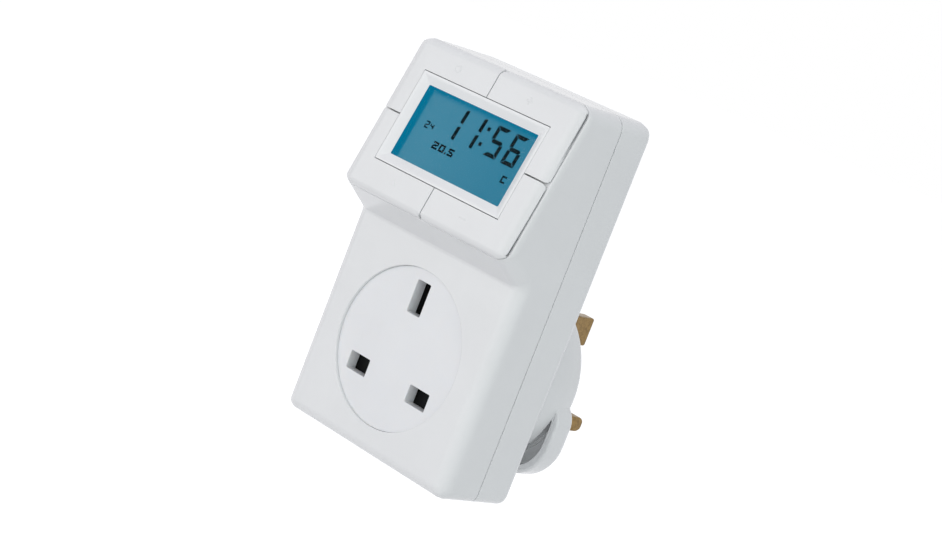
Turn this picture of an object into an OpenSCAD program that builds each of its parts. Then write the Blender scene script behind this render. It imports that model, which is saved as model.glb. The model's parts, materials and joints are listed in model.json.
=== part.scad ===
// Plug-in timer thermostat: a plug-through housing with a mains socket in front, plug pins behind,
// and a tilted display head with four corner buttons.
// Origin: plug face, midway between the live and neutral pins. +Z up, +Y out of the back, -Y to the front.

/* [Body] */
// Width of the body
body_w = 60; // [55:0.5:66]
// How far the body's top lies above the display's centre
body_up = 20.14; // [18.5:0.1:24]
// Depth of the body below the line through the live and neutral pins
body_down = 19; // [18.5:0.1:24]
// Depth of the front shell below the head, from its face to the seam
front_d = 13.5; // [12:0.1:15]
// Depth of the rear cover, from the seam to its back
rear_d = 13.1; // [12.5:0.1:16]
// Radius of the front and side edges
edge_r = 4; // [3:0.1:4.5]
// Radius of the side edges of the bottom
base_r = 2.5; // [2.2:0.1:4]
// Radius of the rear edges
rear_r = 3; // [2.5:0.1:4]
// Thickness of the moulded walls
wall = 2; // [1.7:0.1:2.3]
// Shadow gap between the front shell and the rear cover
seam_gap = 0.25; // [0.1:0.05:0.4]
// How far the rear cover's lip reaches into the front shell
seam_lip = 1.6; // [1:0.1:2.5]

/* [Head] */
// Tilt of the head's face from the vertical
head_tilt = 13.3; // [11:0.1:14.5]
// Height of the display's centre above the ledge's foot
head_up = 26.53; // [25:0.1:29]
// How far the head's centre stands in front of the face below it
head_out = 5.63; // [5.2:0.1:7]
// Height of the ledge's foot above the live and neutral line
ledge_up = 35.83; // [33:0.1:40]
// Slope of the ledge under the head
ledge_slope = 33; // [30:0.5:36]
// Radius of the head's lower edge
brow_r = 1.5; // [1:0.1:2]
// Radius of the head's upper edge
crown_r = 2.5; // [2:0.1:3.5]

/* [Buttons] */
// Thickness of the button caps
cap_t = 1.5; // [1.2:0.1:1.8]
// Room under the caps, which is more than they travel
press_gap = 0.5; // [0.45:0.05:0.9]
// Gap between neighbouring caps, and between the caps and the bezel
split_gap = 0.3; // [0.2:0.05:0.5]
// Diameter of the stem that works the switch
stem_d = 3.6; // [3:0.1:4]
// Running clearance round a stem
stem_clear = 0.08; // [0.05:0.01:0.1]
// Distance of the stems from the head's centre line, across
stem_u = 14; // [10:0.5:17]
// Distance of the stems beyond the bezel's edge, along the slope
stem_s = 3.1; // [2.8:0.1:3.6]

/* [Display] */
// Width of the bezel
bezel_w = 44.4; // [43:0.1:45]
// Height of the bezel
bezel_h = 25; // [23:0.1:26.5]
// Width of the flat rim round the bezel
bezel_rim = 0.7; // [0.4:0.1:1]
// Width of the visible window
window_w = 38.7; // [36:0.1:39]
// Height of the visible window
window_h = 19.6; // [18:0.1:20]
// Depth of the sloping inner faces of the bezel
bezel_fall = 1.2; // [0.8:0.1:1.4]
// Thickness of the clear window
pane_t = 0.8; // [0.6:0.1:1]
// Thickness of the deck under the caps
deck_t = 2; // [1.6:0.1:2.2]
// Thickness of the liquid crystal panel
lcd_t = 2.6; // [2:0.1:2.8]
// Thickness of the light guide
guide_t = 2.5; // [2:0.1:3]
// Thickness of both circuit boards
board_t = 1.6; // [1.2:0.1:1.8]

/* [Socket] */
// Diameter of the socket disc
disc_d = 41.6; // [40:0.1:43]
// Height of the disc's centre above the live and neutral line
disc_up = 8.65; // [8:0.05:9.5]
// How far the disc lies behind the face of the front shell
disc_sink = 0.8; // [0.3:0.1:1.2]
// Thickness of the socket disc
disc_t = 3.6; // [3.2:0.1:4.6]
// Room round a pin in its slot
slot_clear = 0.3; // [0.2:0.05:0.4]
// Thickness of the shutter
shutter_t = 2; // [1.6:0.1:2.4]
// Running clearance in front of and behind the shutter
shutter_clear = 0.15; // [0.1:0.01:0.2]
// How far the shutter drops to clear the slots
shutter_drop = 5.8; // [5.6:0.1:6]
// Thickness of the sheet that the contacts are bent from
leaf_t = 0.6; // [0.4:0.1:0.8]

/* [Plug] */
// Distance between the live and neutral pins
pin_pitch = 22.2; // [22:0.05:22.4]
// Height of the earth pin above the live and neutral line
earth_up = 22.2; // [22:0.05:22.4]
// Width of the live and neutral pins
ln_w = 6.35; // [6.2:0.05:6.5]
// Thickness of every pin
pin_t = 3.975; // [3.9:0.025:4.05]
// Height of the earth pin's section
earth_h = 7.925; // [7.8:0.025:8.05]
// Length of the live and neutral pins from the plug face
ln_len = 17.7; // [17.2:0.1:18.2]
// Length of the earth pin from the plug face
earth_len = 22.73; // [22.3:0.1:23.2]
// Length of the insulating sleeves beyond the plug face
sleeve_len = 9.3; // [8:0.1:9.5]
// Thickness of the sleeves
sleeve_t = 0.7; // [0.5:0.05:0.8]
// Corner radius of the pins' tips
tip_r = 1.2; // [0.8:0.1:1.6]
// Corner radius of the live and neutral pins' tips, seen from the side
ln_tip_r = 1.7; // [1.2:0.1:1.9]

/* [Boss] */
// Distance from the rear cover's back to the plug face
boss_d = 20; // [19:0.5:22]
// Height of the boss's centre above the live and neutral line
boss_up = 9; // [8.5:0.1:9.5]
// Radius of the boss's neck where it leaves the cover
neck_r = 23.2; // [23:0.1:24]
// Radius of the ridge where the neck meets the rim
ridge_r = 24.5; // [24.1:0.1:25]
// Radius of the rim where its back edge starts to round
rim_r = 23.5; // [23.4:0.1:24]
// Half width of the finger lip
lip_half = 25.9; // [25.5:0.1:27]
// Height of the lip's upper edge above the live and neutral line
lip_up = 8.4; // [7.5:0.1:9]
// Distance from the live and neutral line down to the lip's edge
lip_down = 14.6; // [14:0.1:15.5]
// Corner radius of the lip's lower corners
lip_corner = 11.5; // [11:0.5:14]
// Corner radius of the lip's upper corners
lip_shoulder = 6.5; // [5:0.5:7]
// Thickness of the rim and the lip
lip_t = 8; // [7:0.1:8.5]
// Rounding of their back edge
lip_round = 3.5; // [3:0.1:3.8]
// Depth of the finger pockets in the lip's front
pocket_d = 4.4; // [3:0.1:4.5]
// Thickness of the plug face's wall
face_t = 3.2; // [2.8:0.1:3.6]

/* [Fasteners] */
// Diameter of the case screws
case_screw_d = 3; // [2.5:0.1:3]
// Diameter of the small screws inside
small_screw_d = 2; // [1.8:0.1:2.2]
// Clearance between a screw and its hole
screw_clear = 0.06; // [0.04:0.01:0.1]
// Radius of the posts that take the small screws
post_r = 2.1; // [1.9:0.1:2.3]

/* [Hidden] */
$fn = 48;

// A length that reaches past everything, how far cuts run past a face, and a thin layer
far = 200;
eps = 0.5;
sliver = 0.01;
// Clearance between parts that slide into each other without moving later, and round loose inner pieces
fit = 0.1;
room = 0.3;
sleeve_fit = 0.02;

half_w = body_w / 2;
back_y = -boss_d;
seam_y = back_y - rear_d;
face_y = seam_y - front_d;
head_y = face_y - head_out;
head_z = ledge_up + head_up;
top_z = head_z + body_up;

// Outward normals and offsets of the head's face and of the ledge in the YZ plane
head_n = [-cos(head_tilt), sin(head_tilt)];
ledge_n = [-sin(ledge_slope), -cos(ledge_slope)];
head_off = head_n * [head_y, head_z];
ledge_off = ledge_n * [face_y, ledge_up];
// How far the head's solid runs back into the body
head_root = 9;
head_back = face_y + head_root;

// Levels along the head's normal, counted inwards from the face
deck_top = cap_t + press_gap;
deck_low = deck_top + deck_t;
lcd_top = deck_low + fit;
guide_top = lcd_top + lcd_t;
board_top = guide_top + guide_t;
board_low = board_top + board_t;

// Panels of the display, outside sizes, with the ledge that each rests on
spigot_in = 1;
spigot_w = bezel_w - 2 * spigot_in;
spigot_h = bezel_h - 2 * spigot_in;
pane_ledge = 1.1;
pane_w = window_w + 2 * pane_ledge;
pane_h = window_h + 2 * pane_ledge;
lcd_w = bezel_w + 2 * fit;
lcd_h = bezel_h - fit;
strip_w = 1.8;
guide_w = lcd_w - 2 * room;
guide_h = lcd_h - 2 * strip_w - 2 * room;
board_room = 1;
board_rim = 0.5;
pane_frame = 0.4;
pane_low = bezel_fall + pane_frame + pane_t;

// Stems and switches under the caps, and the hooks that hold the caps
stem_v = bezel_h / 2 + stem_s;
switch_a = 4.4;
switch_t = 3.3;
plunger_d = 2.4;
plunger_rise = 0.8;
plunger_bore = 2.4;
plunger_in = 1.4;
hook_w = 2.4;
hook_t = 1.2;
hook_catch = 0.7;
hook_top_u = 5;
hook_top_s = bezel_h / 2 + stem_s - room;
hook_side_u = bezel_w / 2 + hook_t + fit;
hook_side_s = 4;
hook_low = deck_low + fit + hook_t;

// Display board, and the posts between it and the deck beside the switches
display_board_w = body_w - 2 * wall - 2 * board_room;
display_board_h = 2 * stem_v + switch_a + 2 * board_rim;
display_post_gap = 1.7;
display_post_u = stem_u + switch_a / 2 + display_post_gap + post_r;
display_post_s = stem_v;
switch_top = board_top - switch_t;
plunger_top = switch_top - plunger_rise;

// Slots, shutter and contacts, by depth behind the front shell's face
slot_ln = [ln_w + 2 * slot_clear, pin_t + 2 * slot_clear];
slot_e = [pin_t + 2 * slot_clear, earth_h + 2 * slot_clear];
half_pitch = pin_pitch / 2;
disc_back = disc_sink + disc_t;
shutter_front = disc_back + shutter_clear;
shutter_back = shutter_front + shutter_t;
block_front = shutter_back + shutter_clear;
shutter_cover = 0.6;
shutter_half = half_pitch + slot_ln[0] / 2 + shutter_cover;
shutter_edge = slot_ln[1] / 2 + shutter_cover;
arm_half = 3.2;
arm_top = earth_up - slot_e[1] / 2 - room;
ramp_half = 1.9;
ramp_wall = 3;
ramp_back = shutter_front + shutter_drop;
ramp_top = arm_top + shutter_drop;
tab_half = 2.2;
tab_h = 3;
tab_d = 4.6;
spring_d = 4.2;
spring_wire = 0.5;
spring_turns = 7;
spring_len = 10.2;
spring_seat = -shutter_edge - spring_len;
spring_depth = block_front + room + spring_d / 2;
contact_gap = pin_t + 2 * fit;
leaf_flare = 1;
leaf_bend = 2;
tip_room = 0.7;
ln_leaf_w = 5.6;
ln_mouth_in = 3;
ln_mouth = block_front + ln_mouth_in;
ln_end = ln_len + tip_room;
earth_leaf_h = earth_h - fit;
earth_mouth = ramp_back + leaf_flare;
earth_end = earth_len + tip_room;
pocket_half = contact_gap / 2 + leaf_flare + leaf_t + room;
ln_pocket_half = ln_leaf_w / 2 + room;
earth_pocket_half = earth_leaf_h / 2 + room;
block_wall = 1.2;
rail_w = 1.9;
rail_h = 16;
block_half = shutter_half + room + rail_w;
block_low = spring_seat - block_wall;
block_top = earth_up + earth_pocket_half + block_wall;
ln_pocket_end = ln_end + leaf_t + 2 * fit;
earth_pocket_end = earth_end + leaf_t + 2 * fit;
block_back = ln_pocket_end + block_wall;
tower_back = earth_pocket_end + block_wall;
flange_rim = 1.8;
flange_r = disc_d / 2 + flange_rim;
ear_t = 2.4;
ear_depth = 8;
ear_inset = 2.5;
ear_rise = 15.6;
ear_u = half_w - wall - post_r - ear_inset;
ear_z = [disc_up - ear_rise, disc_up + ear_rise];
block_screw_grip = 4.5;

// Plug pins, their shoulders inside the boss, and the plate that clamps them
shoulder_t = 3.2;
shoulder_rim = 1.4;
carrier_t = 3;
carrier_room = 2;
// Walls of the neck, of the finger lip and behind its pockets, and how far the pockets nick the neck's edge
neck_wall = 1.5;
lip_wall = 2.1;
pocket_wall = 1;
pocket_nick = 0.4;
cavity_r = neck_r - neck_wall;
carrier_r = cavity_r - carrier_room;
carrier_front = -face_t - shoulder_t - carrier_t;
tail_w = 4.8;
tail_t = 1.2;
tail_len = 5.5;
tail_lap = 3.5;
tail_end = carrier_front - tail_len;
bridge_y = tail_end + tail_lap;
carrier_rim = 1.7;
post_ring = carrier_r - carrier_rim;
post_angles = [36, 144, 270];
carrier_grip = 1;
rivet_y = (bridge_y + tail_end) / 2;
rivet_r = 0.9;
rivet_head_r = 1.6;
rivet_head_t = 0.6;
small_head_r = small_screw_d * 0.95;
small_head_t = small_screw_d * 0.7;

// Case screws at the lower corners and below the head
case_head_r = case_screw_d * 0.9;
case_head_t = 2;
case_tube_wall = 1.2;
case_tube_r = case_head_r + case_tube_wall;
case_post_wall = 1.6;
case_post_r = case_screw_d / 2 + case_post_wall;
case_sink = 0.4;
case_up = 1.6;
case_u = half_w - wall - case_tube_r + case_sink;
case_z = [-body_down + wall + case_tube_r - case_sink, ledge_up + case_up];
case_recess = 4;
case_grip = 7;

// Power board on the rear cover
power_gap = 2.4;
power_back = back_y - wall - power_gap;
power_front = power_back - board_t;
power_w = body_w - 2 * wall - 4 * board_room;
power_low = case_z[1] + case_tube_r + 2 * room;
power_high = top_z - wall - 1.5 * board_room;
power_post_in = 3;
power_post_up = 14;
power_post_u = power_w / 2 - power_post_in;
power_post_z = [power_low + power_post_up, power_high - power_post_in];
relay_size = [28, 12, 11];
relay_up = 3.4;
relay_z = power_low + relay_up;
cap_size = [17, 8.4, 7];
cap_gap = 1;
cap_u = 5;
cap_z = relay_z + relay_size[2] + cap_gap;
can_d = 8;
can_h = 9.5;
can_u = -12;
can_z = cap_z + can_d / 2 + 2 * room;
disc_varistor_d = 8;
varistor_t = 3.6;
varistor_u = -8;
varistor_down = 7.2;
varistor_z = power_high - varistor_down;
varistor_lift = 1.5;
varistor_leg_d = 0.7;
varistor_leg_z = 2.5;

// Display electronics on the back of the display board
cell_d = 11;
cell_t = 3;
cell_u = 12;
cell_s = 12;
clip_t = 0.4;
chip_a = 12;
chip_t = 1.4;
chip_u = -10;
chip_s = 8;
header_w = 9;
header_h = 3;
header_t = 2.6;
header_rim = 0.8;
ribbon_u = display_board_w / 2 - header_w / 2 - 2 * board_room;
ribbon_t = 0.7;
ribbon_s = 2;
clip_w = 4;

// Sensor bead that hangs from the foot of the power board
bead_d = 2.6;
bead_u = -10;
bead_drop = 4;
bead_leg_d = 0.5;
bead_leg_u = 0.8;
bead_foot = 1;

// Leads: where they meet the tails, the lane that they run in and the foot of the power board
lead_d = 2.2;
solder_gap = 0.3;
lead_start = lead_d / 2 + solder_gap;
lane_y = back_y - wall - lead_d / 2 - 2 * room;
lane_u = case_u - case_tube_r - lead_d / 2 - 3 * room;
lane_low = 10;
lane_high = 26;
board_face = power_front - lead_d / 2 - solder_gap;
live_tail_y = (tail_end + carrier_front) / 2;
contact_tail = 2.5;

// The point where two lines meet, each given by its unit normal and its offset along that
function meet(n1, c1, n2, c2) = let (det = n1[0] * n2[1] - n1[1] * n2[0])
    [(c1 * n2[1] - n1[1] * c2) / det, (n1[0] * c2 - c1 * n2[0]) / det];
// A corner at p between the points a and b, as an arc of radius r
function arc_corner(a, p, b, r, steps = 6) = let (
    u = (a - p) / norm(a - p),
    v = (b - p) / norm(b - p),
    half = acos(u * v) / 2,
    centre = p + (u + v) / norm(u + v) * r / sin(half),
    start = p + u * r / tan(half) - centre,
    turn = sign(start[0] * (p - centre)[1] - start[1] * (p - centre)[0]) * (180 - 2 * half)
) [for (i = [0:steps]) let (a = turn * i / steps)
    centre + [start[0] * cos(a) - start[1] * sin(a), start[0] * sin(a) + start[1] * cos(a)]];
// Place of a point of the head's frame in the YZ plane: s up the slope, depth n below the face
function head_yz(s, n) = [head_y + s * sin(head_tilt) + n * cos(head_tilt),
    head_z + s * cos(head_tilt) - n * sin(head_tilt)];

// An outline drawn in X and Z, extruded along Y
module along_y(y0, y1) translate([0, y1, 0]) rotate([90, 0, 0]) linear_extrude(y1 - y0) children();
// An outline drawn in Y and Z, extruded along X
module along_x(x0, x1) translate([x0, 0, 0]) rotate([90, 0, 90]) linear_extrude(x1 - x0) children();
// A box between two corners
module block(a, b) translate(a) cube(b - a);
// A box centred across X and Z on a point, between two depths behind the front shell's face
module depth_box(x, z, w, h, d0, d1)
    block([x - w / 2, face_y + d0, z - h / 2], [x + w / 2, face_y + d1, z + h / 2]);
// A round bar along Y
module rod_y(x, z, r, y0, y1) translate([x, y1, z]) rotate([90, 0, 0]) cylinder(r = r, h = y1 - y0);
// A round bar between two points
module rod(a, b, r) {
    v = b - a;
    translate(a) rotate([0, acos(v[2] / norm(v)), atan2(v[1], v[0])]) cylinder(r = r, h = norm(v));
}
// A rectangle with its own corner radius at the low and at the high side
module round_rect(x0, x1, y0, y1, low_r, high_r) {
    polygon([[x0 + low_r, y0], [x1 - low_r, y0], [x1, y0 + low_r], [x1, y1 - high_r],
        [x1 - high_r, y1], [x0 + high_r, y1], [x0, y1 - high_r], [x0, y0 + low_r]]);
    for (x = [x0 + low_r, x1 - low_r]) if (low_r > 0) translate([x, y0 + low_r]) circle(low_r);
    for (x = [x0 + high_r, x1 - high_r]) if (high_r > 0) translate([x, y1 - high_r]) circle(high_r);
}
// The head's own frame: X across, Y up the slope, Z out of the face
module in_head() translate([0, head_y, head_z]) rotate([90 - head_tilt, 0, 0]) children();
// The ledge's own frame: X across, Y up the slope to the front, Z out of the ledge
module in_ledge() translate([0, face_y, ledge_up]) rotate([180 - ledge_slope, 0, 0]) children();
// A box in the head's frame between two depths below the face
module head_box(u, s, w, h, n0, n1)
    in_head() translate([u - w / 2, s - h / 2, -n1]) cube([w, h, n1 - n0]);
// A round bar square to the head's face
module head_rod(u, s, r, n0, n1) in_head() translate([u, s, -n1]) cylinder(r = r, h = n1 - n0);

// The front view of the body, inset by i
module front_view(i) along_y(face_y - far / 2, far / 2)
    round_rect(-half_w + i, half_w - i, -body_down + i, top_z - i, base_r - i / 2, edge_r - i / 2);
// The body behind the front shell's face, inset by i
module slab(i) intersection() {
    front_view(i);
    translate([0, 0, -far / 2]) linear_extrude(far)
        round_rect(-half_w + i, half_w - i, face_y + i, back_y - i, edge_r - i / 2, rear_r - i / 2);
    along_x(-far / 2, far / 2)
        round_rect(face_y + i, back_y - i, -body_down + i, top_z - i, rear_r - i / 2, rear_r - i / 2);
}
// The tilted head with the ledge under it, inset by i
module head(i) {
    brow = meet(head_n, head_off - i, ledge_n, ledge_off - i);
    crown = meet(head_n, head_off - i, [0, 1], top_z - i);
    top_back = [head_back, top_z - i];
    low_back = meet([1, 0], head_back, ledge_n, ledge_off - i);
    intersection() {
        front_view(i);
        along_x(-half_w, half_w) polygon(concat(
            arc_corner(low_back, brow, crown, max(brow_r - i, 0.2)),
            arc_corner(brow, crown, top_back, max(crown_r - i, 0.2)), [top_back, low_back]));
        in_head() along_y(-far / 2, far / 2)
            round_rect(-half_w + i, half_w - i, -far / 2, -i, 0, edge_r - i / 2);
        in_ledge() along_y(-far / 2, far / 2)
            round_rect(-half_w + i, half_w - i, -far / 2, -i, 0, edge_r - i / 2);
    }
}
// The whole outside of the body, inset by i
module outline(i) {
    slab(i);
    head(i);
}
// Everything at least n below the head's face
module below_face(n) in_head() translate([-far / 2, -far / 2, -n - far]) cube([far, far, far]);
// Everything in front of or behind a plane across Y
module ahead_of(y) translate([-far / 2, y - far, -far / 2]) cube(far);
module behind(y) translate([-far / 2, y, -far / 2]) cube(far);
// Repeats its children at the case screws, at the block's ears and at the carrier's posts
module at_case() for (x = [-case_u, case_u], z = case_z) translate([x, 0, z]) children();
module at_ears() for (x = [-ear_u, ear_u], z = ear_z) translate([x, 0, z]) children();
module at_carrier() for (a = post_angles)
    translate([post_ring * cos(a), 0, boss_up + post_ring * sin(a)]) children();
module at_power() for (x = [-power_post_u, power_post_u], z = power_post_z) translate([x, 0, z]) children();
// Repeats its children at the four corners of the head, mirrored with them
module at_corners() for (i = [0, 1], j = [0, 1]) in_head() mirror([i, 0, 0]) mirror([0, j, 0]) children();
// The three slots or holes, each larger than the pin by a clearance on every side
module pin_holes(clear, y0, y1) {
    for (x = [-half_pitch, half_pitch])
        block([x - ln_w / 2 - clear, y0, -pin_t / 2 - clear],
            [x + ln_w / 2 + clear, y1, pin_t / 2 + clear]);
    block([-pin_t / 2 - clear, y0, earth_up - earth_h / 2 - clear],
        [pin_t / 2 + clear, y1, earth_up + earth_h / 2 + clear]);
}

module front_shell() color("gainsboro") difference() {
    union() {
        difference() {
            intersection() {
                outline(0);
                ahead_of(seam_y);
                below_face(deck_top);
            }
            intersection() {
                outline(wall);
                below_face(deck_low);
            }
        }
        intersection() {
            outline(wall / 2);
            ahead_of(seam_y);
            below_face(deck_top);
            union() {
                at_case() rod_y(0, 0, case_post_r, face_y - far / 4, seam_y);
                at_ears() rod_y(0, 0, post_r, face_y, face_y + ear_depth);
            }
        }
        at_corners() translate([display_post_u, display_post_s, -board_top])
            cylinder(r = post_r, h = board_top - deck_low + eps);
    }
    // Rebate for the rear cover's lip
    intersection() {
        outline(wall / 2);
        behind(seam_y - seam_lip - fit);
        ahead_of(seam_y + eps);
        difference() {
            outline(0);
            at_case() rod_y(0, 0, case_post_r, seam_y - far, seam_y);
        }
    }
    rod_y(0, disc_up, disc_d / 2 + fit, face_y - eps, face_y + wall + eps);
    at_case() rod_y(0, 0, case_screw_d / 2 + screw_clear, seam_y - case_grip - eps, seam_y + eps);
    at_ears() rod_y(0, 0, small_screw_d / 2 + screw_clear, face_y + wall, face_y + ear_depth + eps);
    head_box(0, 0, spigot_w + 2 * fit, spigot_h + 2 * fit, deck_top - eps, deck_low + eps);
    at_corners() {
        translate([stem_u, stem_v, -deck_low - eps])
            cylinder(r = stem_d / 2 + stem_clear, h = deck_t + 2 * eps);
        translate([hook_top_u - hook_w / 2 - room, hook_top_s - hook_t / 2 - room, -deck_low - eps])
            cube([hook_w + 2 * room, hook_t + hook_catch + 2 * room, deck_t + 2 * eps]);
        translate([hook_side_u - hook_t / 2 - room, hook_side_s - hook_w / 2 - room, -deck_low - eps])
            cube([hook_t + hook_catch + 2 * room, hook_w + 2 * room, deck_t + 2 * eps]);
        translate([display_post_u, display_post_s, -board_top - eps])
            cylinder(r = small_screw_d / 2 + screw_clear, h = board_top - deck_low);
    }
}

// A disc across Y with its back at the plug face and a rounded back edge
module soft_disc(x, z, r) translate([x, 0, z]) rotate([90, 0, 0]) rotate_extrude() {
    translate([0, lip_round]) square([r, lip_t - lip_round]);
    square([r - lip_round, lip_t]);
    intersection() {
        translate([r - lip_round, lip_round]) circle(lip_round);
        square([r, lip_t]);
    }
}
// The finger lip's outline, inset by i
module lip_outline(i)
    round_rect(i - lip_half, lip_half - i, i - lip_down, lip_up - i, lip_corner - i, lip_shoulder - i);
// The finger lip: a plate with rounded corners and a rounded back edge
module finger_lip() {
    low_x = lip_half - lip_corner;
    low_z = lip_corner - lip_down;
    top_x = lip_half - lip_shoulder;
    top_z = lip_up - lip_shoulder;
    along_y(-lip_t, -lip_round) lip_outline(0);
    along_y(-lip_round, 0) lip_outline(lip_round);
    for (x = [-low_x, low_x]) soft_disc(x, low_z, lip_corner);
    for (x = [-top_x, top_x]) soft_disc(x, top_z, lip_shoulder);
    rod([-low_x, -lip_round, lip_round - lip_down], [low_x, -lip_round, lip_round - lip_down], lip_round);
    for (x = [lip_round - lip_half, lip_half - lip_round])
        rod([x, -lip_round, low_z], [x, -lip_round, top_z], lip_round);
}
// The pockets behind the lip's wall, which reach in under the neck's edge
module finger_pockets() difference() {
    along_y(-lip_t - pocket_nick, -lip_t + pocket_d) lip_outline(lip_wall);
    rod_y(0, boss_up, cavity_r + pocket_wall, -lip_t - eps, 0);
}
module rear_cover() color("gainsboro") difference() {
    union() {
        difference() {
            union() {
                difference() {
                    intersection() {
                        slab(0);
                        behind(seam_y + seam_gap);
                    }
                    slab(wall);
                }
                translate([0, -lip_t, boss_up]) rotate([90, 0, 0])
                    cylinder(r1 = ridge_r, r2 = neck_r, h = boss_d - lip_t + wall);
                translate([0, -lip_round, boss_up]) rotate([90, 0, 0])
                    cylinder(r1 = rim_r, r2 = ridge_r, h = lip_t - lip_round);
                soft_disc(0, boss_up, rim_r);
                finger_lip();
            }
            finger_pockets();
            rod_y(0, boss_up, cavity_r, back_y - wall - eps, -face_t);
        }
        // Lip that centres the cover in the front shell
        difference() {
            intersection() {
                slab(wall / 2 + fit);
                behind(seam_y - seam_lip);
                ahead_of(seam_y + wall);
            }
            slab(wall);
            at_case() rod_y(0, 0, case_post_r + fit, seam_y - far, seam_y + seam_gap);
        }
        intersection() {
            slab(wall / 2);
            at_case() rod_y(0, 0, case_tube_r, seam_y + seam_gap, back_y);
        }
        at_carrier() rod_y(0, 0, post_r, -face_t - shoulder_t, -face_t + eps);
        at_power() rod_y(0, 0, post_r, power_back, back_y - wall + eps);
    }
    pin_holes(fit / 2, -face_t - eps, eps);
    at_case() {
        rod_y(0, 0, case_head_r + screw_clear, back_y - case_recess, back_y + eps);
        rod_y(0, 0, case_screw_d / 2 + screw_clear, seam_y, back_y);
    }
    at_carrier() rod_y(0, 0, small_screw_d / 2 + screw_clear,
        -face_t - shoulder_t - eps, -face_t + carrier_grip + 2 * fit);
    at_power() rod_y(0, 0, small_screw_d / 2 + screw_clear, power_back - eps, back_y - wall / 2);
}

module socket_disc() color("whitesmoke") difference() {
    union() {
        rod_y(0, disc_up, disc_d / 2, face_y + disc_sink, face_y + disc_back);
        rod_y(0, disc_up, flange_r, face_y + wall, face_y + disc_back);
    }
    pin_holes(slot_clear, face_y - eps, face_y + disc_back + eps);
}

module contact_block() color("dimgray") difference() {
    union() {
        block([-block_half, face_y + block_front, block_low],
            [block_half, face_y + block_back, block_top]);
        depth_box(0, earth_up, 2 * (pocket_half + block_wall), 2 * (earth_pocket_half + block_wall),
            block_front, tower_back);
        // Rails beside the shutter, which also press the disc home
        for (side = [-1, 1])
            depth_box(side * (block_half - rail_w / 2), 0, rail_w, rail_h, disc_back, block_front + eps);
        at_ears() rod_y(0, 0, post_r, face_y + ear_depth, face_y + ear_depth + ear_t);
        for (z = ear_z) depth_box(0, z, 2 * ear_u, 2 * post_r, ear_depth, ear_depth + ear_t);
    }
    for (x = [-half_pitch, half_pitch]) {
        depth_box(x, 0, 2 * ln_pocket_half, 2 * pocket_half, block_front - eps, ln_pocket_end);
        depth_box(x, 0, tail_w + 2 * fit, 2 * (tail_t + fit), ln_end, block_back + eps);
    }
    depth_box(0, earth_up, 2 * pocket_half, 2 * earth_pocket_half, block_front - eps, earth_pocket_end);
    depth_box(0, earth_up, 2 * (tail_t + fit), tail_w + 2 * fit, earth_end, tower_back + eps);
    // Room for the shutter's ramp, its spring and its tab
    block([-ramp_half - room, face_y + block_front - eps, arm_top - ramp_wall - shutter_drop - 3 * room],
        [ramp_half + room, face_y + ramp_back + room, earth_up]);
    block([-tab_half - room, face_y + block_front - eps, spring_seat],
        [tab_half + room, face_y + block_front + 2 * room + tab_d, tab_h - shutter_edge + room]);
    at_ears() rod_y(0, 0, small_screw_d / 2 + screw_clear, face_y, face_y + ear_depth + ear_t + eps);
}

module shutter() color("black") {
    depth_box(0, 0, 2 * shutter_half, 2 * shutter_edge, shutter_front, shutter_back);
    depth_box(0, arm_top / 2, 2 * arm_half, arm_top, shutter_front, shutter_back);
    along_x(-ramp_half, ramp_half) translate([face_y, 0]) polygon([
        [shutter_front, arm_top - ramp_wall], [shutter_front, arm_top], [ramp_back, ramp_top],
        [ramp_back, ramp_top - ramp_wall], [shutter_back, arm_top - ramp_wall]]);
    block([-tab_half, face_y + shutter_back - eps, -shutter_edge],
        [tab_half, face_y + block_front + room + tab_d, tab_h - shutter_edge]);
}

// A closed tube of the given radius along a path, with each ring turned by the up vector
module sweep(path, r, sides, up) {
    last = len(path) - 1;
    rings = [for (i = [0:last]) let (
        along = path[min(i + 1, last)] - path[max(i - 1, 0)],
        t = along / norm(along),
        a = cross(up, t) / norm(cross(up, t)),
        b = cross(t, a))
        for (k = [0:sides - 1]) path[i] + r * (cos(360 * k / sides) * a + sin(360 * k / sides) * b)];
    skin = [for (i = [0:last - 1], k = [0:sides - 1]) let (
        p = i * sides + k,
        q = i * sides + (k + 1) % sides)
        each [[p, p + sides, q], [q, p + sides, q + sides]]];
    ends = [[for (k = [0:sides - 1]) k], [for (k = [sides - 1:-1:0]) last * sides + k]];
    polyhedron(rings, concat(skin, ends));
}
// A helical spring along Z between two seats
module coil(d, wire, turns, z0, z1) {
    per_turn = 8;
    steps = turns * per_turn;
    mid_r = (d - wire) / 2;
    rise = z1 - z0 - wire;
    sweep([for (i = [0:steps]) let (a = 360 * i / per_turn)
        [mid_r * cos(a), mid_r * sin(a), z0 + wire / 2 + rise * i / steps]], wire / 2, 6, [0, 0, 1]);
}
module shutter_spring() color("silver")
    translate([0, face_y + spring_depth, 0])
        coil(spring_d, spring_wire, spring_turns, spring_seat + fit, -shutter_edge - fit);

// A bent clip seen edge on: two sprung leaves with flared mouths, joined at the back
module clip_outline(d0, d1) {
    g = contact_gap / 2;
    bend = d0 + leaf_bend;
    for (side = [-1, 1]) polygon([
        [d0, side * (g + leaf_flare)], [bend, side * g], [d1 + leaf_t, side * g],
        [d1 + leaf_t, side * (g + leaf_t)], [bend, side * (g + leaf_t)],
        [d0, side * (g + leaf_flare + leaf_t)]]);
    translate([d1, -g - leaf_t]) square([leaf_t, 2 * (g + leaf_t)]);
}
module ln_contact(x, tail_y) color("goldenrod") {
    along_x(x - ln_leaf_w / 2, x + ln_leaf_w / 2) translate([face_y, 0]) clip_outline(ln_mouth, ln_end);
    block([x - tail_w / 2, face_y + ln_end, 0], [x + tail_w / 2, tail_y, tail_t]);
}
module live_contact() ln_contact(half_pitch, face_y + block_back + contact_tail);
module neutral_contact() color("goldenrod") difference() {
    ln_contact(-half_pitch, bridge_y);
    rivet_hole_ln();
}
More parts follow.
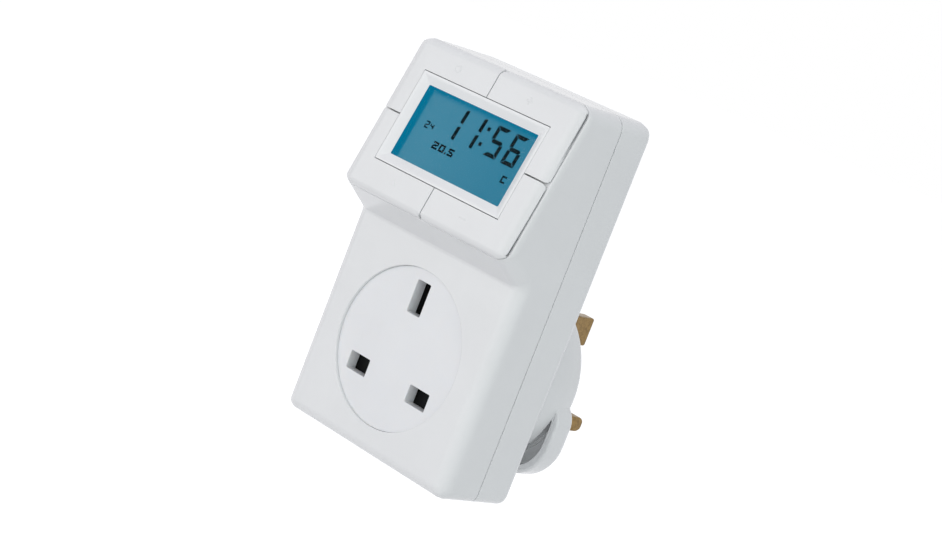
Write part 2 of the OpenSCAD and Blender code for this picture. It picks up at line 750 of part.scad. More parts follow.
module earth_contact() color("goldenrod") difference() {
    union() {
        translate([0, face_y, earth_up - earth_leaf_h / 2]) linear_extrude(earth_leaf_h)
            rotate(90) mirror([0, 1]) clip_outline(earth_mouth, earth_end);
        block([0, face_y + earth_end, earth_up - tail_w / 2], [tail_t, bridge_y, earth_up + tail_w / 2]);
    }
    rivet_hole_e();
}
// Holes for the rivets that join the contacts' tails to the pins' tails
module rivet_hole() cylinder(r = rivet_r + fit / 2, h = far / 2, center = true);
module rivet_hole_ln() translate([-half_pitch, rivet_y, 0]) rivet_hole();
module rivet_hole_e() translate([0, rivet_y, earth_up]) rotate([0, 90, 0]) rivet_hole();
module rivet() {
    cylinder(r = rivet_r, h = 2 * tail_t, center = true);
    for (side = [-1, 1]) translate([0, 0, side * (tail_t + rivet_head_t / 2)])
        cylinder(r = rivet_head_r, h = rivet_head_t, center = true);
}
module tail_rivets() color("silver") {
    translate([-half_pitch, rivet_y, 0]) rivet();
    translate([0, rivet_y, earth_up]) rotate([0, 90, 0]) rivet();
}

// A bar's outline from the shoulder to a tip with rounded corners, drawn along X
module tip_outline(len, h, r) {
    translate([-face_t, -h / 2]) square([len + face_t - r, h]);
    translate([-face_t, r - h / 2]) square([len + face_t, h - 2 * r]);
    for (y = [r - h / 2, h / 2 - r]) translate([len - r, y]) circle(r);
}
// A pin of section w by h along Y with its shoulder; its tip has corner radius r, seen along X
module pin_blank(w, h, len, r) {
    intersection() {
        translate([0, 0, -h / 2]) linear_extrude(h) rotate(90) tip_outline(len, w, tip_r);
        along_x(-w / 2, w / 2) tip_outline(len, h, r);
    }
    block([-w / 2 - shoulder_rim, -face_t - shoulder_t, -h / 2 - shoulder_rim],
        [w / 2 + shoulder_rim, -face_t, h / 2 + shoulder_rim]);
}
// The sleeve on a live or neutral pin, flush with the pin's outside
module sleeve(grow) difference() {
    block([-ln_w / 2, -face_t, -pin_t / 2], [ln_w / 2, sleeve_len, pin_t / 2]);
    block([sleeve_t - ln_w / 2 - grow, -face_t - eps, sleeve_t - pin_t / 2 - grow],
        [ln_w / 2 - sleeve_t + grow, sleeve_len + eps, pin_t / 2 - sleeve_t + grow]);
}
module ln_pin(x) translate([x, 0, 0]) difference() {
    union() {
        pin_blank(ln_w, pin_t, ln_len, ln_tip_r);
        block([-tail_w / 2, tail_end, -tail_t], [tail_w / 2, -face_t - shoulder_t + eps, 0]);
    }
    sleeve(0);
}
module live_pin() color("darkgoldenrod") ln_pin(half_pitch);
module neutral_pin() color("darkgoldenrod") difference() {
    ln_pin(-half_pitch);
    rivet_hole_ln();
}
module earth_pin() color("darkgoldenrod") difference() {
    translate([0, 0, earth_up]) {
        pin_blank(pin_t, earth_h, earth_len, tip_r);
        block([-tail_t, tail_end, -tail_w / 2], [0, -face_t - shoulder_t + eps, tail_w / 2]);
    }
    rivet_hole_e();
}
module pin_sleeves() color("black")
    for (x = [-half_pitch, half_pitch]) translate([x, 0, 0]) sleeve(sleeve_fit);
module pin_carrier() color("dimgray") difference() {
    rod_y(0, boss_up, carrier_r, carrier_front, -face_t - shoulder_t);
    for (x = [-half_pitch, half_pitch])
        block([x - tail_w / 2 - room, -far, -tail_t - room], [x + tail_w / 2 + room, eps, tail_t + room]);
    block([-tail_t - room, -far, earth_up - tail_w / 2 - room],
        [tail_t + room, eps, earth_up + tail_w / 2 + room]);
    at_carrier() rod_y(0, 0, small_screw_d / 2 + screw_clear, carrier_front - eps, eps);
}

// A screw along Y: a round head from y towards the front or back, with a cross recess, and a shank
module screw_y(r, head_r, head_t, y, tip, way) {
    low = min(y, tip);
    high = max(y, tip);
    rod_y(0, 0, r, low, high);
    difference() {
        rod_y(0, 0, head_r, min(y, y - way * head_t), max(y, y - way * head_t));
        for (a = [0, 90]) translate([0, y - way * head_t, 0]) rotate([0, a, 0])
            cube([head_r * 1.1, head_t, head_r * 0.25], center = true);
    }
}
module small_screw(seat, tip)
    screw_y(small_screw_d / 2, small_head_r, small_head_t, seat, tip, sign(tip - seat));
module carrier_screws() color("silver") at_carrier() small_screw(carrier_front, -face_t + carrier_grip);
module block_screws() color("silver") at_ears()
    small_screw(face_y + ear_depth + ear_t, face_y + ear_depth - block_screw_grip);
module case_screws() color("silver") at_case()
    screw_y(case_screw_d / 2, case_head_r, case_head_t, back_y - case_recess, seam_y - case_grip, -1);
module power_screws() color("silver") at_power() small_screw(power_front, back_y - wall);
module display_screws() color("silver") at_corners() translate([display_post_u, display_post_s, 0]) {
    translate([0, 0, -board_low]) cylinder(r = small_screw_d / 2, h = board_low - deck_low - wall / 2);
    difference() {
        translate([0, 0, -board_low - small_head_t]) cylinder(r = small_head_r, h = small_head_t);
        for (a = [0, 90]) translate([0, 0, -board_low - small_head_t]) rotate(a)
            cube([small_head_r * 1.1, small_head_r * 0.25, small_head_t], center = true);
    }
}

// One corner cap with its stem and its two hooks, for the side and the level given as -1 or 1
module button(side, level) color("white") {
    intersection() {
        outline(0);
        in_head() mirror([side < 0 ? 1 : 0, 0, 0]) mirror([0, level < 0 ? 1 : 0, 0]) difference() {
            translate([split_gap / 2, split_gap / 2, -cap_t]) cube([half_w, far / 4, far / 4]);
            translate([-far / 4, -far / 4, -far / 4])
                cube([far / 4 + bezel_w / 2 + split_gap, far / 4 + bezel_h / 2 + split_gap, far]);
        }
    }
    in_head() mirror([side < 0 ? 1 : 0, 0, 0]) mirror([0, level < 0 ? 1 : 0, 0]) {
        translate([stem_u, stem_v, -plunger_top]) cylinder(r = stem_d / 2, h = plunger_top - cap_t + eps);
        translate([hook_top_u - hook_w / 2, hook_top_s - hook_t / 2, -hook_low])
            cube([hook_w, hook_t, hook_low - cap_t + eps]);
        translate([hook_top_u - hook_w / 2, hook_top_s - hook_t / 2, -hook_low])
            cube([hook_w, hook_t + hook_catch, hook_low - deck_low - fit]);
        translate([hook_side_u - hook_t / 2, hook_side_s - hook_w / 2, -hook_low])
            cube([hook_t, hook_w, hook_low - cap_t + eps]);
        translate([hook_side_u - hook_t / 2, hook_side_s - hook_w / 2, -hook_low])
            cube([hook_t + hook_catch, hook_w, hook_low - deck_low - fit]);
    }
}
module button_top_left() button(-1, 1);
module button_top_right() button(1, 1);
module button_bottom_left() button(-1, -1);
module button_bottom_right() button(1, -1);
// The sliding plunger of a switch, which stays against its button's stem
module plunger(side, level) color("ivory")
    head_rod(side * stem_u, level * stem_v, plunger_d / 2, plunger_top, switch_top + plunger_in);
module plunger_top_left() plunger(-1, 1);
module plunger_top_right() plunger(1, 1);
module plunger_bottom_left() plunger(-1, -1);
module plunger_bottom_right() plunger(1, -1);
module switch_bodies() color("dimgray") at_corners() translate([stem_u, stem_v, -board_top]) difference() {
    translate([-switch_a / 2, -switch_a / 2, 0]) cube([switch_a, switch_a, switch_t]);
    translate([0, 0, switch_t - plunger_bore])
        cylinder(r = plunger_d / 2 + stem_clear, h = plunger_bore + eps);
}

module display_bezel() color("white") difference() {
    union() {
        head_box(0, 0, bezel_w, bezel_h, 0, deck_top);
        head_box(0, 0, spigot_w, spigot_h, deck_top - eps, deck_low);
    }
    in_head() hull() {
        translate([0, 0, sliver]) linear_extrude(sliver)
            square([bezel_w - 2 * bezel_rim, bezel_h - 2 * bezel_rim], center = true);
        translate([0, 0, -bezel_fall]) linear_extrude(sliver) square([window_w, window_h], center = true);
    }
    head_box(0, 0, window_w, window_h, -eps, deck_low + eps);
    head_box(0, 0, pane_w + 2 * fit, pane_h + 2 * fit, pane_low - pane_t, pane_low + fit);
    head_box(0, 0, pane_w + 2 * fit, pane_h + 2 * fit, pane_low, deck_low + eps);
}
module display_window() color("azure", 0.4) head_box(0, 0, pane_w, pane_h, pane_low - pane_t, pane_low);
module lcd_panel() color("steelblue") head_box(0, 0, lcd_w, lcd_h, lcd_top, guide_top);
module light_guide() color("lightcyan") head_box(0, 0, guide_w, guide_h, guide_top, board_top);
module contact_strips() color("pink") for (s = [-1, 1])
    head_box(0, s * (lcd_h - strip_w) / 2, guide_w, strip_w, guide_top, board_top);
module display_board() color("darkgreen") difference() {
    head_box(0, 0, display_board_w, display_board_h, board_top, board_low);
    at_corners() translate([display_post_u, display_post_s, -board_low - eps])
        cylinder(r = small_screw_d / 2 + screw_clear, h = board_t + 2 * eps);
}
module controller_chip() color("black")
    head_box(chip_u, chip_s, chip_a, chip_a, board_low, board_low + chip_t);
module backup_cell() color("silver")
    head_rod(cell_u, cell_s, cell_d / 2, board_low + clip_t, board_low + clip_t + cell_t);
// A bent strap over the cell and a foot on each side of it
module cell_clip() color("lightgray") in_head() {
    reach = cell_d / 2 + fit;
    top = -board_low - 2 * clip_t - cell_t;
    translate([cell_u - clip_w / 2, cell_s, 0]) {
        translate([0, -reach - clip_t, top]) cube([clip_w, 2 * (reach + clip_t), clip_t]);
        for (s = [-reach - clip_t, reach]) translate([0, s, top]) cube([clip_w, clip_t, -board_low - top]);
        translate([0, -reach, -board_low - clip_t]) cube([clip_w, 2 * reach, clip_t]);
    }
}

module power_board() color("darkgreen") difference() {
    block([-power_w / 2, power_front, power_low], [power_w / 2, power_back, power_high]);
    at_power() rod_y(0, 0, small_screw_d / 2 + screw_clear, power_front - eps, power_back + eps);
}
module relay() color("royalblue")
    block([-relay_size[0] / 2, power_front - relay_size[1], relay_z],
        [relay_size[0] / 2, power_front, relay_z + relay_size[2]]);
module mains_capacitor() color("gold")
    block([cap_u - cap_size[0] / 2, power_front - cap_size[1], cap_z],
        [cap_u + cap_size[0] / 2, power_front, cap_z + cap_size[2]]);
module smoothing_capacitor() color("midnightblue")
    rod_y(can_u, can_z, can_d / 2, power_front - can_h, power_front);
module varistor() color("steelblue") {
    translate([varistor_u - varistor_t / 2, power_front - disc_varistor_d / 2 - varistor_lift, varistor_z])
        rotate([0, 90, 0]) cylinder(r = disc_varistor_d / 2, h = varistor_t);
    for (side = [-1, 1]) rod_y(varistor_u, varistor_z + side * varistor_leg_z, varistor_leg_d / 2,
        power_front - disc_varistor_d / 2 - varistor_lift, power_front);
}

// Points on a smooth curve through a hand-laid route
function smooth(route, steps = 4) = let (last = len(route) - 1) concat(
    [for (i = [0:last - 1], k = [0:steps - 1]) let (
        p0 = route[max(i - 1, 0)],
        p1 = route[i],
        p2 = route[i + 1],
        p3 = route[min(i + 2, last)],
        t = k / steps)
        p1 + 0.5 * t * (p2 - p0 + t * (2 * p0 - 5 * p1 + 4 * p2 - p3 + t * (3 * (p1 - p2) + p3 - p0)))],
    [route[last]]);
module lead(route) sweep(smooth(route), lead_d / 2, 8, [1, 0, 0]);
module live_in_lead() color("saddlebrown") lead([
    [half_pitch, live_tail_y, lead_start], [half_pitch + 1, live_tail_y - 3, lead_start + 3],
    [lane_u - 2, lane_y, lane_low + 4], [lane_u, lane_y, lane_high],
    [lane_u, board_face, power_low - 2], [lane_u, board_face, power_low + 6]]);
module live_out_lead() color("saddlebrown") lead([
    [half_pitch, face_y + block_back + contact_tail - 1, tail_t + lead_start],
    [half_pitch - 2, lane_y, lane_low], [half_pitch - 2, lane_y, lane_high],
    [half_pitch - 2, board_face, power_low - 4], [half_pitch - 2, board_face, power_low + 2]]);
module neutral_lead() color("mediumblue") lead([
    [-half_pitch, face_y + block_back + contact_tail - 1, tail_t + lead_start],
    [-half_pitch - 1, lane_y, lane_low], [2 - lane_u, lane_y, lane_high],
    [-lane_u, board_face, power_low - 2], [-lane_u, board_face, power_low + 6]]);

// Two pin headers and the flat cable between them
ribbon_from = head_yz(ribbon_s, board_low + header_t);
ribbon_z = ribbon_from[1];
module ribbon_headers() color("white") {
    head_box(ribbon_u, ribbon_s, header_w, header_h, board_low, board_low + header_t);
    block([ribbon_u - header_w / 2, power_front - header_t, ribbon_z - header_h / 2],
        [ribbon_u + header_w / 2, power_front, ribbon_z + header_h / 2]);
}
module ribbon_cable() color("lightgray")
    block([ribbon_u - header_w / 2 + header_rim, ribbon_from[0] + fit, ribbon_z - ribbon_t / 2],
        [ribbon_u + header_w / 2 - header_rim, power_front - header_t, ribbon_z + ribbon_t / 2]);
module thermistor() color("black") {
    bead = [bead_u, power_front - bead_d / 2 - room, power_low - bead_drop];
    foot_z = power_low + bead_foot;
    leg_r = bead_leg_d / 2;
    translate(bead) sphere(d = bead_d);
    for (x = [-bead_leg_u, bead_leg_u]) {
        rod(bead + [x, 0, 0], [bead_u + x, bead[1], foot_z], leg_r);
        rod_y(bead_u + x, foot_z, leg_r, bead[1] - leg_r, power_front);
    }
}

front_shell();
rear_cover();
socket_disc();
contact_block();
shutter();
shutter_spring();
live_contact();
neutral_contact();
earth_contact();
live_pin();
neutral_pin();
earth_pin();
pin_sleeves();
pin_carrier();
carrier_screws();
tail_rivets();
block_screws();
case_screws();
button_top_left();
button_top_right();
button_bottom_left();
button_bottom_right();
plunger_top_left();
plunger_top_right();
plunger_bottom_left();
plunger_bottom_right();
display_bezel();
display_window();
lcd_panel();
light_guide();
contact_strips();
display_board();
switch_bodies();
display_screws();
controller_chip();
backup_cell();
cell_clip();
power_board();
power_screws();
relay();
mains_capacitor();
smoothing_capacitor();
varistor();
live_in_lead();
live_out_lead();
neutral_lead();
ribbon_cable();
ribbon_headers();
thermistor();
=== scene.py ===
"""Plug-in timer thermostat: the looks of its pieces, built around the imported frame, and a small studio."""
import json
import logging
import math
from dataclasses import dataclass, field
from enum import Enum
from typing import Iterable, Sequence

import bmesh
import bpy
from mathutils import Matrix, Vector
from mathutils.bvhtree import BVHTree


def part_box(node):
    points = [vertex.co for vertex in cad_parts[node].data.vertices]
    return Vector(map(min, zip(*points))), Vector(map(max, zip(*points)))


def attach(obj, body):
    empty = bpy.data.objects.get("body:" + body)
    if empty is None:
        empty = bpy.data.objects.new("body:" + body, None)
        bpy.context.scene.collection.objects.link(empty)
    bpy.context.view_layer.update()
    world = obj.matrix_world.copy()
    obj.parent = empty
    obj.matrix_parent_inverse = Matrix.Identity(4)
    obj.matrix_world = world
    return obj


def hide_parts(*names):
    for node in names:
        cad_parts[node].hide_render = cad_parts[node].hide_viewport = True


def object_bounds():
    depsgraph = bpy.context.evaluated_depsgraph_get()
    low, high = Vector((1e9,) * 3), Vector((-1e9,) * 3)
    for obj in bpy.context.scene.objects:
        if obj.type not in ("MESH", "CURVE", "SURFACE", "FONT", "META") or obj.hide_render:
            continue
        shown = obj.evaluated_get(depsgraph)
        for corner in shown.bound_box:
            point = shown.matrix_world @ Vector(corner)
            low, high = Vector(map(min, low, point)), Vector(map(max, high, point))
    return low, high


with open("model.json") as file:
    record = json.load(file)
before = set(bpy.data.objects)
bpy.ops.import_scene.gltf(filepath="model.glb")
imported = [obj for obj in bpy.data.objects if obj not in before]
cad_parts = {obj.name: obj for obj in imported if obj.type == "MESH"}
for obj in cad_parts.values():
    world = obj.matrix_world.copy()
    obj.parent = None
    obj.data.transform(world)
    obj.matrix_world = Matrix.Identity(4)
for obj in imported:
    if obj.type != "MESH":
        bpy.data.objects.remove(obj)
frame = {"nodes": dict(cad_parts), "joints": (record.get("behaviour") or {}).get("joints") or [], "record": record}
CAD_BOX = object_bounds()

log = logging.getLogger("timer_thermostat")

Outline = list[tuple[float, float]]
Colour = tuple[float, float, float, float]

MM = 0.001
WHITE: Colour = (1.0, 1.0, 1.0, 1.0)
# How far a cutter runs past what it cuts, in millimetres
PAST = 1.0
# Edges that turn by more than this, in degrees, count as sharp
SHARP = 35.0
# Sides of the socket disc and of the hole that it fills
DISC_SIDES = 128
# How much more the large faces count when the shading is levelled
FACE_WEIGHT = 80
# The edge layer that the bevel modifier reads
ROUNDING = "bevel_weight_edge"


def in_mm(corner: Vector) -> Vector:
    """Returns a place of the frame in millimetres."""
    return corner / MM


def arc(centre: tuple[float, float], radius: float, start: float, end: float, steps: int) -> Outline:
    """Points along an arc.

    Args:
        centre: Centre of the arc.
        radius: Its radius.
        start: Angle of the first point, in degrees.
        end: Angle of the last point, in degrees.
        steps: Number of stretches between the points.

    Returns:
        The points, both ends included.
    """
    turns = [math.radians(start + (end - start) * i / steps) for i in range(steps + 1)]
    return [(centre[0] + radius * math.cos(a), centre[1] + radius * math.sin(a)) for a in turns]


def rounded_rectangle(half_w: float, half_h: float, radius: float, steps: int = 4) -> Outline:
    """A rectangle about the origin with round corners.

    Args:
        half_w: Half its width.
        half_h: Half its height.
        radius: Radius of the corners.
        steps: Number of stretches in a corner.

    Returns:
        The points, counter-clockwise from its right side.
    """
    x, y = half_w - radius, half_h - radius
    corners = [(x, -y, -90), (x, y, 0), (-x, y, 90), (-x, -y, 180)]
    return [p for cx, cy, a in corners for p in arc((cx, cy), radius, a, a + 90, steps)]


def box_outline(x0: float, x1: float, y0: float, y1: float) -> Outline:
    """Returns a plain rectangle between two corners."""
    return [(x0, y0), (x1, y0), (x1, y1), (x0, y1)]


def fillet(before: Sequence[float], corner: Sequence[float], after: Sequence[float], radius: float,
           steps: int = 6) -> Outline:
    """The arc that rounds a corner between two straight lines.

    Args:
        before: A place on the line into the corner.
        corner: The corner.
        after: A place on the line out of it.
        radius: Radius of the arc.
        steps: Number of stretches in it.

    Returns:
        The points, from one line to the other.
    """
    spot = Vector(corner)
    back, on = (Vector(before) - spot).normalized(), (Vector(after) - spot).normalized()
    half = back.angle(on) / 2
    centre = spot + (back + on).normalized() * radius / math.sin(half)
    first, last = (spot + way * radius / math.tan(half) - centre for way in (back, on))
    return [tuple(centre + first.slerp(last, i / steps).normalized() * radius) for i in range(steps + 1)]


class Solid:
    """A mesh in millimetres that is cut, joined and rounded on its way to becoming a piece."""

    # Edges that turn by more than this, in degrees, are folds inside the tight corners of a shell
    FOLD = 125.0
    # Corners nearer to a cut than this are drawn onto it
    CROWDED = 0.3
    # Distances that count as none when a solid is cut, joined and opened
    ON_PLANE = 1e-4
    SAME_SPOT = 0.003
    ON_WALL = 0.005

    def __init__(self, mesh: bmesh.types.BMesh) -> None:
        """Takes over a mesh."""
        self.mesh = mesh

    @classmethod
    def lofted(cls, rings: Sequence[Sequence[Vector]], closed: bool = False) -> "Solid":
        """A skin over rings of equally many points.

        Args:
            rings: The rings, each a list of places.
            closed: True joins the last ring to the first one, False caps both ends.

        Returns:
            The closed solid.
        """
        mesh = bmesh.new()
        loops = [[mesh.verts.new(p) for p in ring] for ring in rings]
        following = loops[1:] + loops[:1] if closed else loops[1:]
        for low, high in zip(loops, following):
            for i in range(len(low)):
                j = (i + 1) % len(low)
                mesh.faces.new((low[i], low[j], high[j], high[i]))
        if not closed:
            mesh.faces.new(reversed(loops[0]))
            mesh.faces.new(loops[-1])
        bmesh.ops.recalc_face_normals(mesh, faces=mesh.faces)
        return cls(mesh)

    @classmethod
    def extruded(cls, outline: Outline, low: float, high: float, place: Matrix) -> "Solid":
        """A prism over an outline.

        Args:
            outline: Points in the local X and Y of place.
            low: Local Z of one end.
            high: Local Z of the other end.
            place: The frame that the outline is drawn in.

        Returns:
            The closed solid.
        """
        return cls.lofted([[place @ Vector((x, y, z)) for x, y in outline] for z in (low, high)])

    @classmethod
    def turned(cls, profile: Outline, place: Matrix, sides: int = 96, closed: bool = False) -> "Solid":
        """A turned body.

        Args:
            profile: Pairs of radius and local Z, from one end of the axis to the other.
            place: The frame whose Z is the axis.
            sides: Number of sides.
            closed: True for a ring, whose profile runs back to its first point.

        Returns:
            The closed solid.
        """
        turn = [2 * math.pi * i / sides for i in range(sides)]
        rings = [[place @ Vector((r * math.cos(a), r * math.sin(a), z)) for a in turn] for r, z in profile]
        return cls.lofted(rings, closed)

    def cut(self, point: Vector, away: Vector, fill: bool = True) -> "Solid":
        """Removes what lies beyond a plane, and draws corners that crowd the cut onto it.

        An edge rounded with such corners beside it would fold over.

        Args:
            point: A place on the plane.
            away: The side to remove.
            fill: True closes the cut with a face.

        Returns:
            This solid.
        """
        everything = [*self.mesh.verts, *self.mesh.edges, *self.mesh.faces]
        cut = bmesh.ops.bisect_plane(self.mesh, geom=everything, dist=self.ON_PLANE, plane_co=point,
                                     plane_no=away, clear_outer=True)
        ring = [v for v in cut["geom_cut"] if isinstance(v, bmesh.types.BMVert)]
        on_cut = set(ring)
        crowded = [v for v in self.mesh.verts if v not in on_cut and (point - v.co).dot(away) < self.CROWDED]
        beside = {v: [e.other_vert(v) for e in v.link_edges if e.other_vert(v) in on_cut] for v in crowded}
        moves = {v: min(near, key=lambda other: (other.co - v.co).length)
                 for v, near in beside.items() if near}
        bmesh.ops.weld_verts(self.mesh, targetmap=moves)
        bmesh.ops.remove_doubles(self.mesh, verts=[v for v in ring if v.is_valid], dist=self.CROWDED)
        if fill:
            bmesh.ops.edgeloop_fill(self.mesh, edges=[e for e in self.mesh.edges if e.is_boundary])
            bmesh.ops.recalc_face_normals(self.mesh, faces=self.mesh.faces)
        return self

    def _stepped(self, kind: str, **settings: object) -> "Solid":
        """Runs one modifier on the mesh.

        Args:
            kind: The modifier's type.
            settings: Its settings.

        Returns:
            This solid.
        """
        data = bpy.data.meshes.new("step")
        self.mesh.to_mesh(data)
        self.mesh.free()
        carrier = bpy.data.objects.new("step", data)
        bpy.context.scene.collection.objects.link(carrier)
        step = carrier.modifiers.new("step", kind)
        for name, value in settings.items():
            setattr(step, name, value)
        bpy.context.view_layer.update()
        graph = bpy.context.evaluated_depsgraph_get()
        result = bpy.data.meshes.new_from_object(carrier.evaluated_get(graph))
        self.mesh = bmesh.new()
        self.mesh.from_mesh(result)
        bpy.data.objects.remove(carrier)
        for used in (data, result):
            bpy.data.meshes.remove(used)
        return self

    def _combined(self, operation: str, others: Iterable["Solid"]) -> "Solid":
        """Joins other solids to this one or cuts them out of it, one after the other.

        Args:
            operation: The boolean modifier's operation.
            others: The other solids, which are used up.

        Returns:
            This solid.
        """
        for other in others:
            data = bpy.data.meshes.new("tool")
            other.mesh.to_mesh(data)
            other.mesh.free()
            tool = bpy.data.objects.new("tool", data)
            bpy.context.scene.collection.objects.link(tool)
            self._stepped("BOOLEAN", object=tool, operation=operation, solver="EXACT")
            bpy.data.objects.remove(tool)
            bpy.data.meshes.remove(data)
            bmesh.ops.remove_doubles(self.mesh, verts=self.mesh.verts, dist=self.SAME_SPOT)
            bmesh.ops.dissolve_degenerate(self.mesh, edges=self.mesh.edges, dist=self.SAME_SPOT)
        return self

    def plus(self, *others: "Solid") -> "Solid":
        """Returns this solid joined with others."""
        return self._combined("UNION", others)

    def minus(self, *others: "Solid") -> "Solid":
        """Returns this solid with others cut out of it."""
        return self._combined("DIFFERENCE", others)

    def opened(self, *others: "Solid") -> "Solid":
        """Opens this solid's skin where others cross it, without walls round the openings.

        Args:
            others: The other solids, which are used up.

        Returns:
            This solid.
        """
        for other in others:
            tree = BVHTree.FromBMesh(other.mesh)
            self.minus(other)
            walls = [f for f in self.mesh.faces
                     if tree.find_nearest(f.calc_center_median())[3] < self.ON_WALL]
            bmesh.ops.delete(self.mesh, geom=walls, context="FACES")
        return self

    def shelled(self, wall: float) -> "Solid":
        """Returns an open skin thickened inwards to a wall."""
        return self._stepped("SOLIDIFY", thickness=wall, offset=-1.0, use_even_offset=True,
                             use_quality_normals=True)

    def _bevelled(self, width: float, segments: int) -> "Solid":
        """Returns this solid with its edges rounded by a width times their weights."""
        return self._stepped("BEVEL", width=width, segments=segments, limit_method="WEIGHT",
                             offset_type="OFFSET", use_clamp_overlap=False)

    def filleted(self, segments: int) -> "Solid":
        """Rounds each edge by the offset kept in its rounding layer, in millimetres.

        Args:
            segments: Number of faces across a rounding.

        Returns:
            This solid.
        """
        layer = self.mesh.edges.layers.float[ROUNDING]
        widest = max(e[layer] for e in self.mesh.edges)
        for edge in self.mesh.edges:
            edge[layer] /= widest
        return self._bevelled(widest, segments)

    def softened(self, width: float, segments: int = 2) -> "Solid":
        """Rounds every sharp edge, apart from folds inside the tight corners of a shell.

        Args:
            width: Width of the rounding in millimetres.
            segments: Number of faces across the rounding.

        Returns:
            This solid.
        """
        layers = self.mesh.edges.layers.float
        layer = layers.get(ROUNDING) or layers.new(ROUNDING)
        turns = {edge: math.degrees(edge.calc_face_angle(0.0)) for edge in self.mesh.edges}
        folded = {vert for edge, turn in turns.items() if turn > self.FOLD for vert in edge.verts}
        for edge, turn in turns.items():
            edge[layer] = float(turn > SHARP and folded.isdisjoint(edge.verts))
        return self._bevelled(width, segments)

    def islands(self) -> list["Solid"]:
        """Splits the mesh, which is used up, into its loose parts.

        Returns:
            One solid a part.
        """
        self.mesh.verts.index_update()
        left = set(self.mesh.verts)
        parts = []
        for start in self.mesh.verts:
            if start not in left:
                continue
            left.discard(start)
            keep, waiting = set(), [start]
            while waiting:
                vert = waiting.pop()
                keep.add(vert.index)
                near = {e.other_vert(vert) for e in vert.link_edges} & left
                left -= near
                waiting.extend(near)
            part = self.mesh.copy()
            bmesh.ops.delete(part, geom=[v for v in part.verts if v.index not in keep], context="VERTS")
            parts.append(Solid(part))
        self.mesh.free()
        return parts

    def middle(self) -> Vector:
        """Returns the middle of the mesh's vertices."""
        return sum((v.co for v in self.mesh.verts), Vector()) / len(self.mesh.verts)

    def piece(self, name: str, material: bpy.types.Material, body: str, slot: str,
              nodes: Iterable[str] = ()) -> bpy.types.Object:
        """Turns the solid into a piece of the object.

        Args:
            name: Name of the piece.
            material: Its material.
            body: The body that it rides on.
            slot: The record's material slot, which is not used.
            nodes: The nodes that it stands for.

        Returns:
            The new object.
        """
        bmesh.ops.scale(self.mesh, vec=(MM, MM, MM), verts=self.mesh.verts)
        for face in self.mesh.faces:
            face.smooth = True
        data = bpy.data.meshes.new(name)
        self.mesh.to_mesh(data)
        self.mesh.free()
        data.materials.append(material)
        made = bpy.data.objects.new(name, data)
        bpy.context.scene.collection.objects.link(made)
        made.modifiers.new("level_normals", "WEIGHTED_NORMAL").weight = FACE_WEIGHT
        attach(made, body)
        for node in nodes:
            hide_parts(node)
        log.info("%s: %d faces on %s", name, len(data.polygons), body)
        return made


class NodeSheet:
    """A node tree with short calls for adding and linking nodes."""

    def __init__(self, tree: bpy.types.NodeTree) -> None:
        """Takes a tree and empties it."""
        self.tree = tree
        tree.nodes.clear()

    @staticmethod
    def fill(node: bpy.types.Node, **settings: object) -> None:
        """Sets up a node.

        Args:
            node: The node.
            settings: Its properties, or values of its inputs by socket name with underscores.
        """
        for name, value in settings.items():
            if hasattr(node, name):
                setattr(node, name, value)
            else:
                node.inputs[name.replace("_", " ")].default_value = value

    def add(self, kind: str, **settings: object) -> bpy.types.Node:
        """Adds a node.

        Args:
            kind: The node's type.
            settings: Its settings, as fill takes them.

        Returns:
            The node.
        """
        node = self.tree.nodes.new(kind)
        self.fill(node, **settings)
        return node

    def link(self, output: bpy.types.NodeSocket, target: bpy.types.NodeSocket) -> None:
        """Links two sockets."""
        self.tree.links.new(output, target)

    def math(self, operation: str, first: object, second: object) -> bpy.types.NodeSocket:
        """Adds one arithmetic step.

        Args:
            operation: The Math node's operation.
            first: A socket or a number.
            second: A socket or a number.

        Returns:
            The result's socket.
        """
        node = self.add("ShaderNodeMath", operation=operation)
        for socket, value in zip(node.inputs, (first, second)):
            if isinstance(value, bpy.types.NodeSocket):
                self.link(value, socket)
            else:
                socket.default_value = value
        return node.outputs[0]


class Effect(Enum):
    """Effects that several materials share, each a node group built once."""

    MOULDED_GRAIN = "moulded_grain"
    DRAWN_METAL = "drawn_metal"

    def group(self) -> bpy.types.NodeTree:
        """Gives the effect's group, built on first use.

        Returns:
            The group.
        """
        made = bpy.data.node_groups.get(self.value)
        if made is None:
            made = bpy.data.node_groups.new(self.value, "ShaderNodeTree")
            builders = {Effect.MOULDED_GRAIN: build_moulded_grain, Effect.DRAWN_METAL: build_drawn_metal}
            builders[self](made)
        return made


def group_sockets(tree: bpy.types.NodeTree, inputs: dict[str, float], outputs: Iterable[str]) -> None:
    """Gives a group its number sockets.

    Args:
        tree: The group.
        inputs: Default values of the inputs by name.
        outputs: Names of the outputs.
    """
    for name, value in inputs.items():
        tree.interface.new_socket(name, in_out="INPUT", socket_type="NodeSocketFloat").default_value = value
    for name in outputs:
        tree.interface.new_socket(name, in_out="OUTPUT", socket_type="NodeSocketFloat")


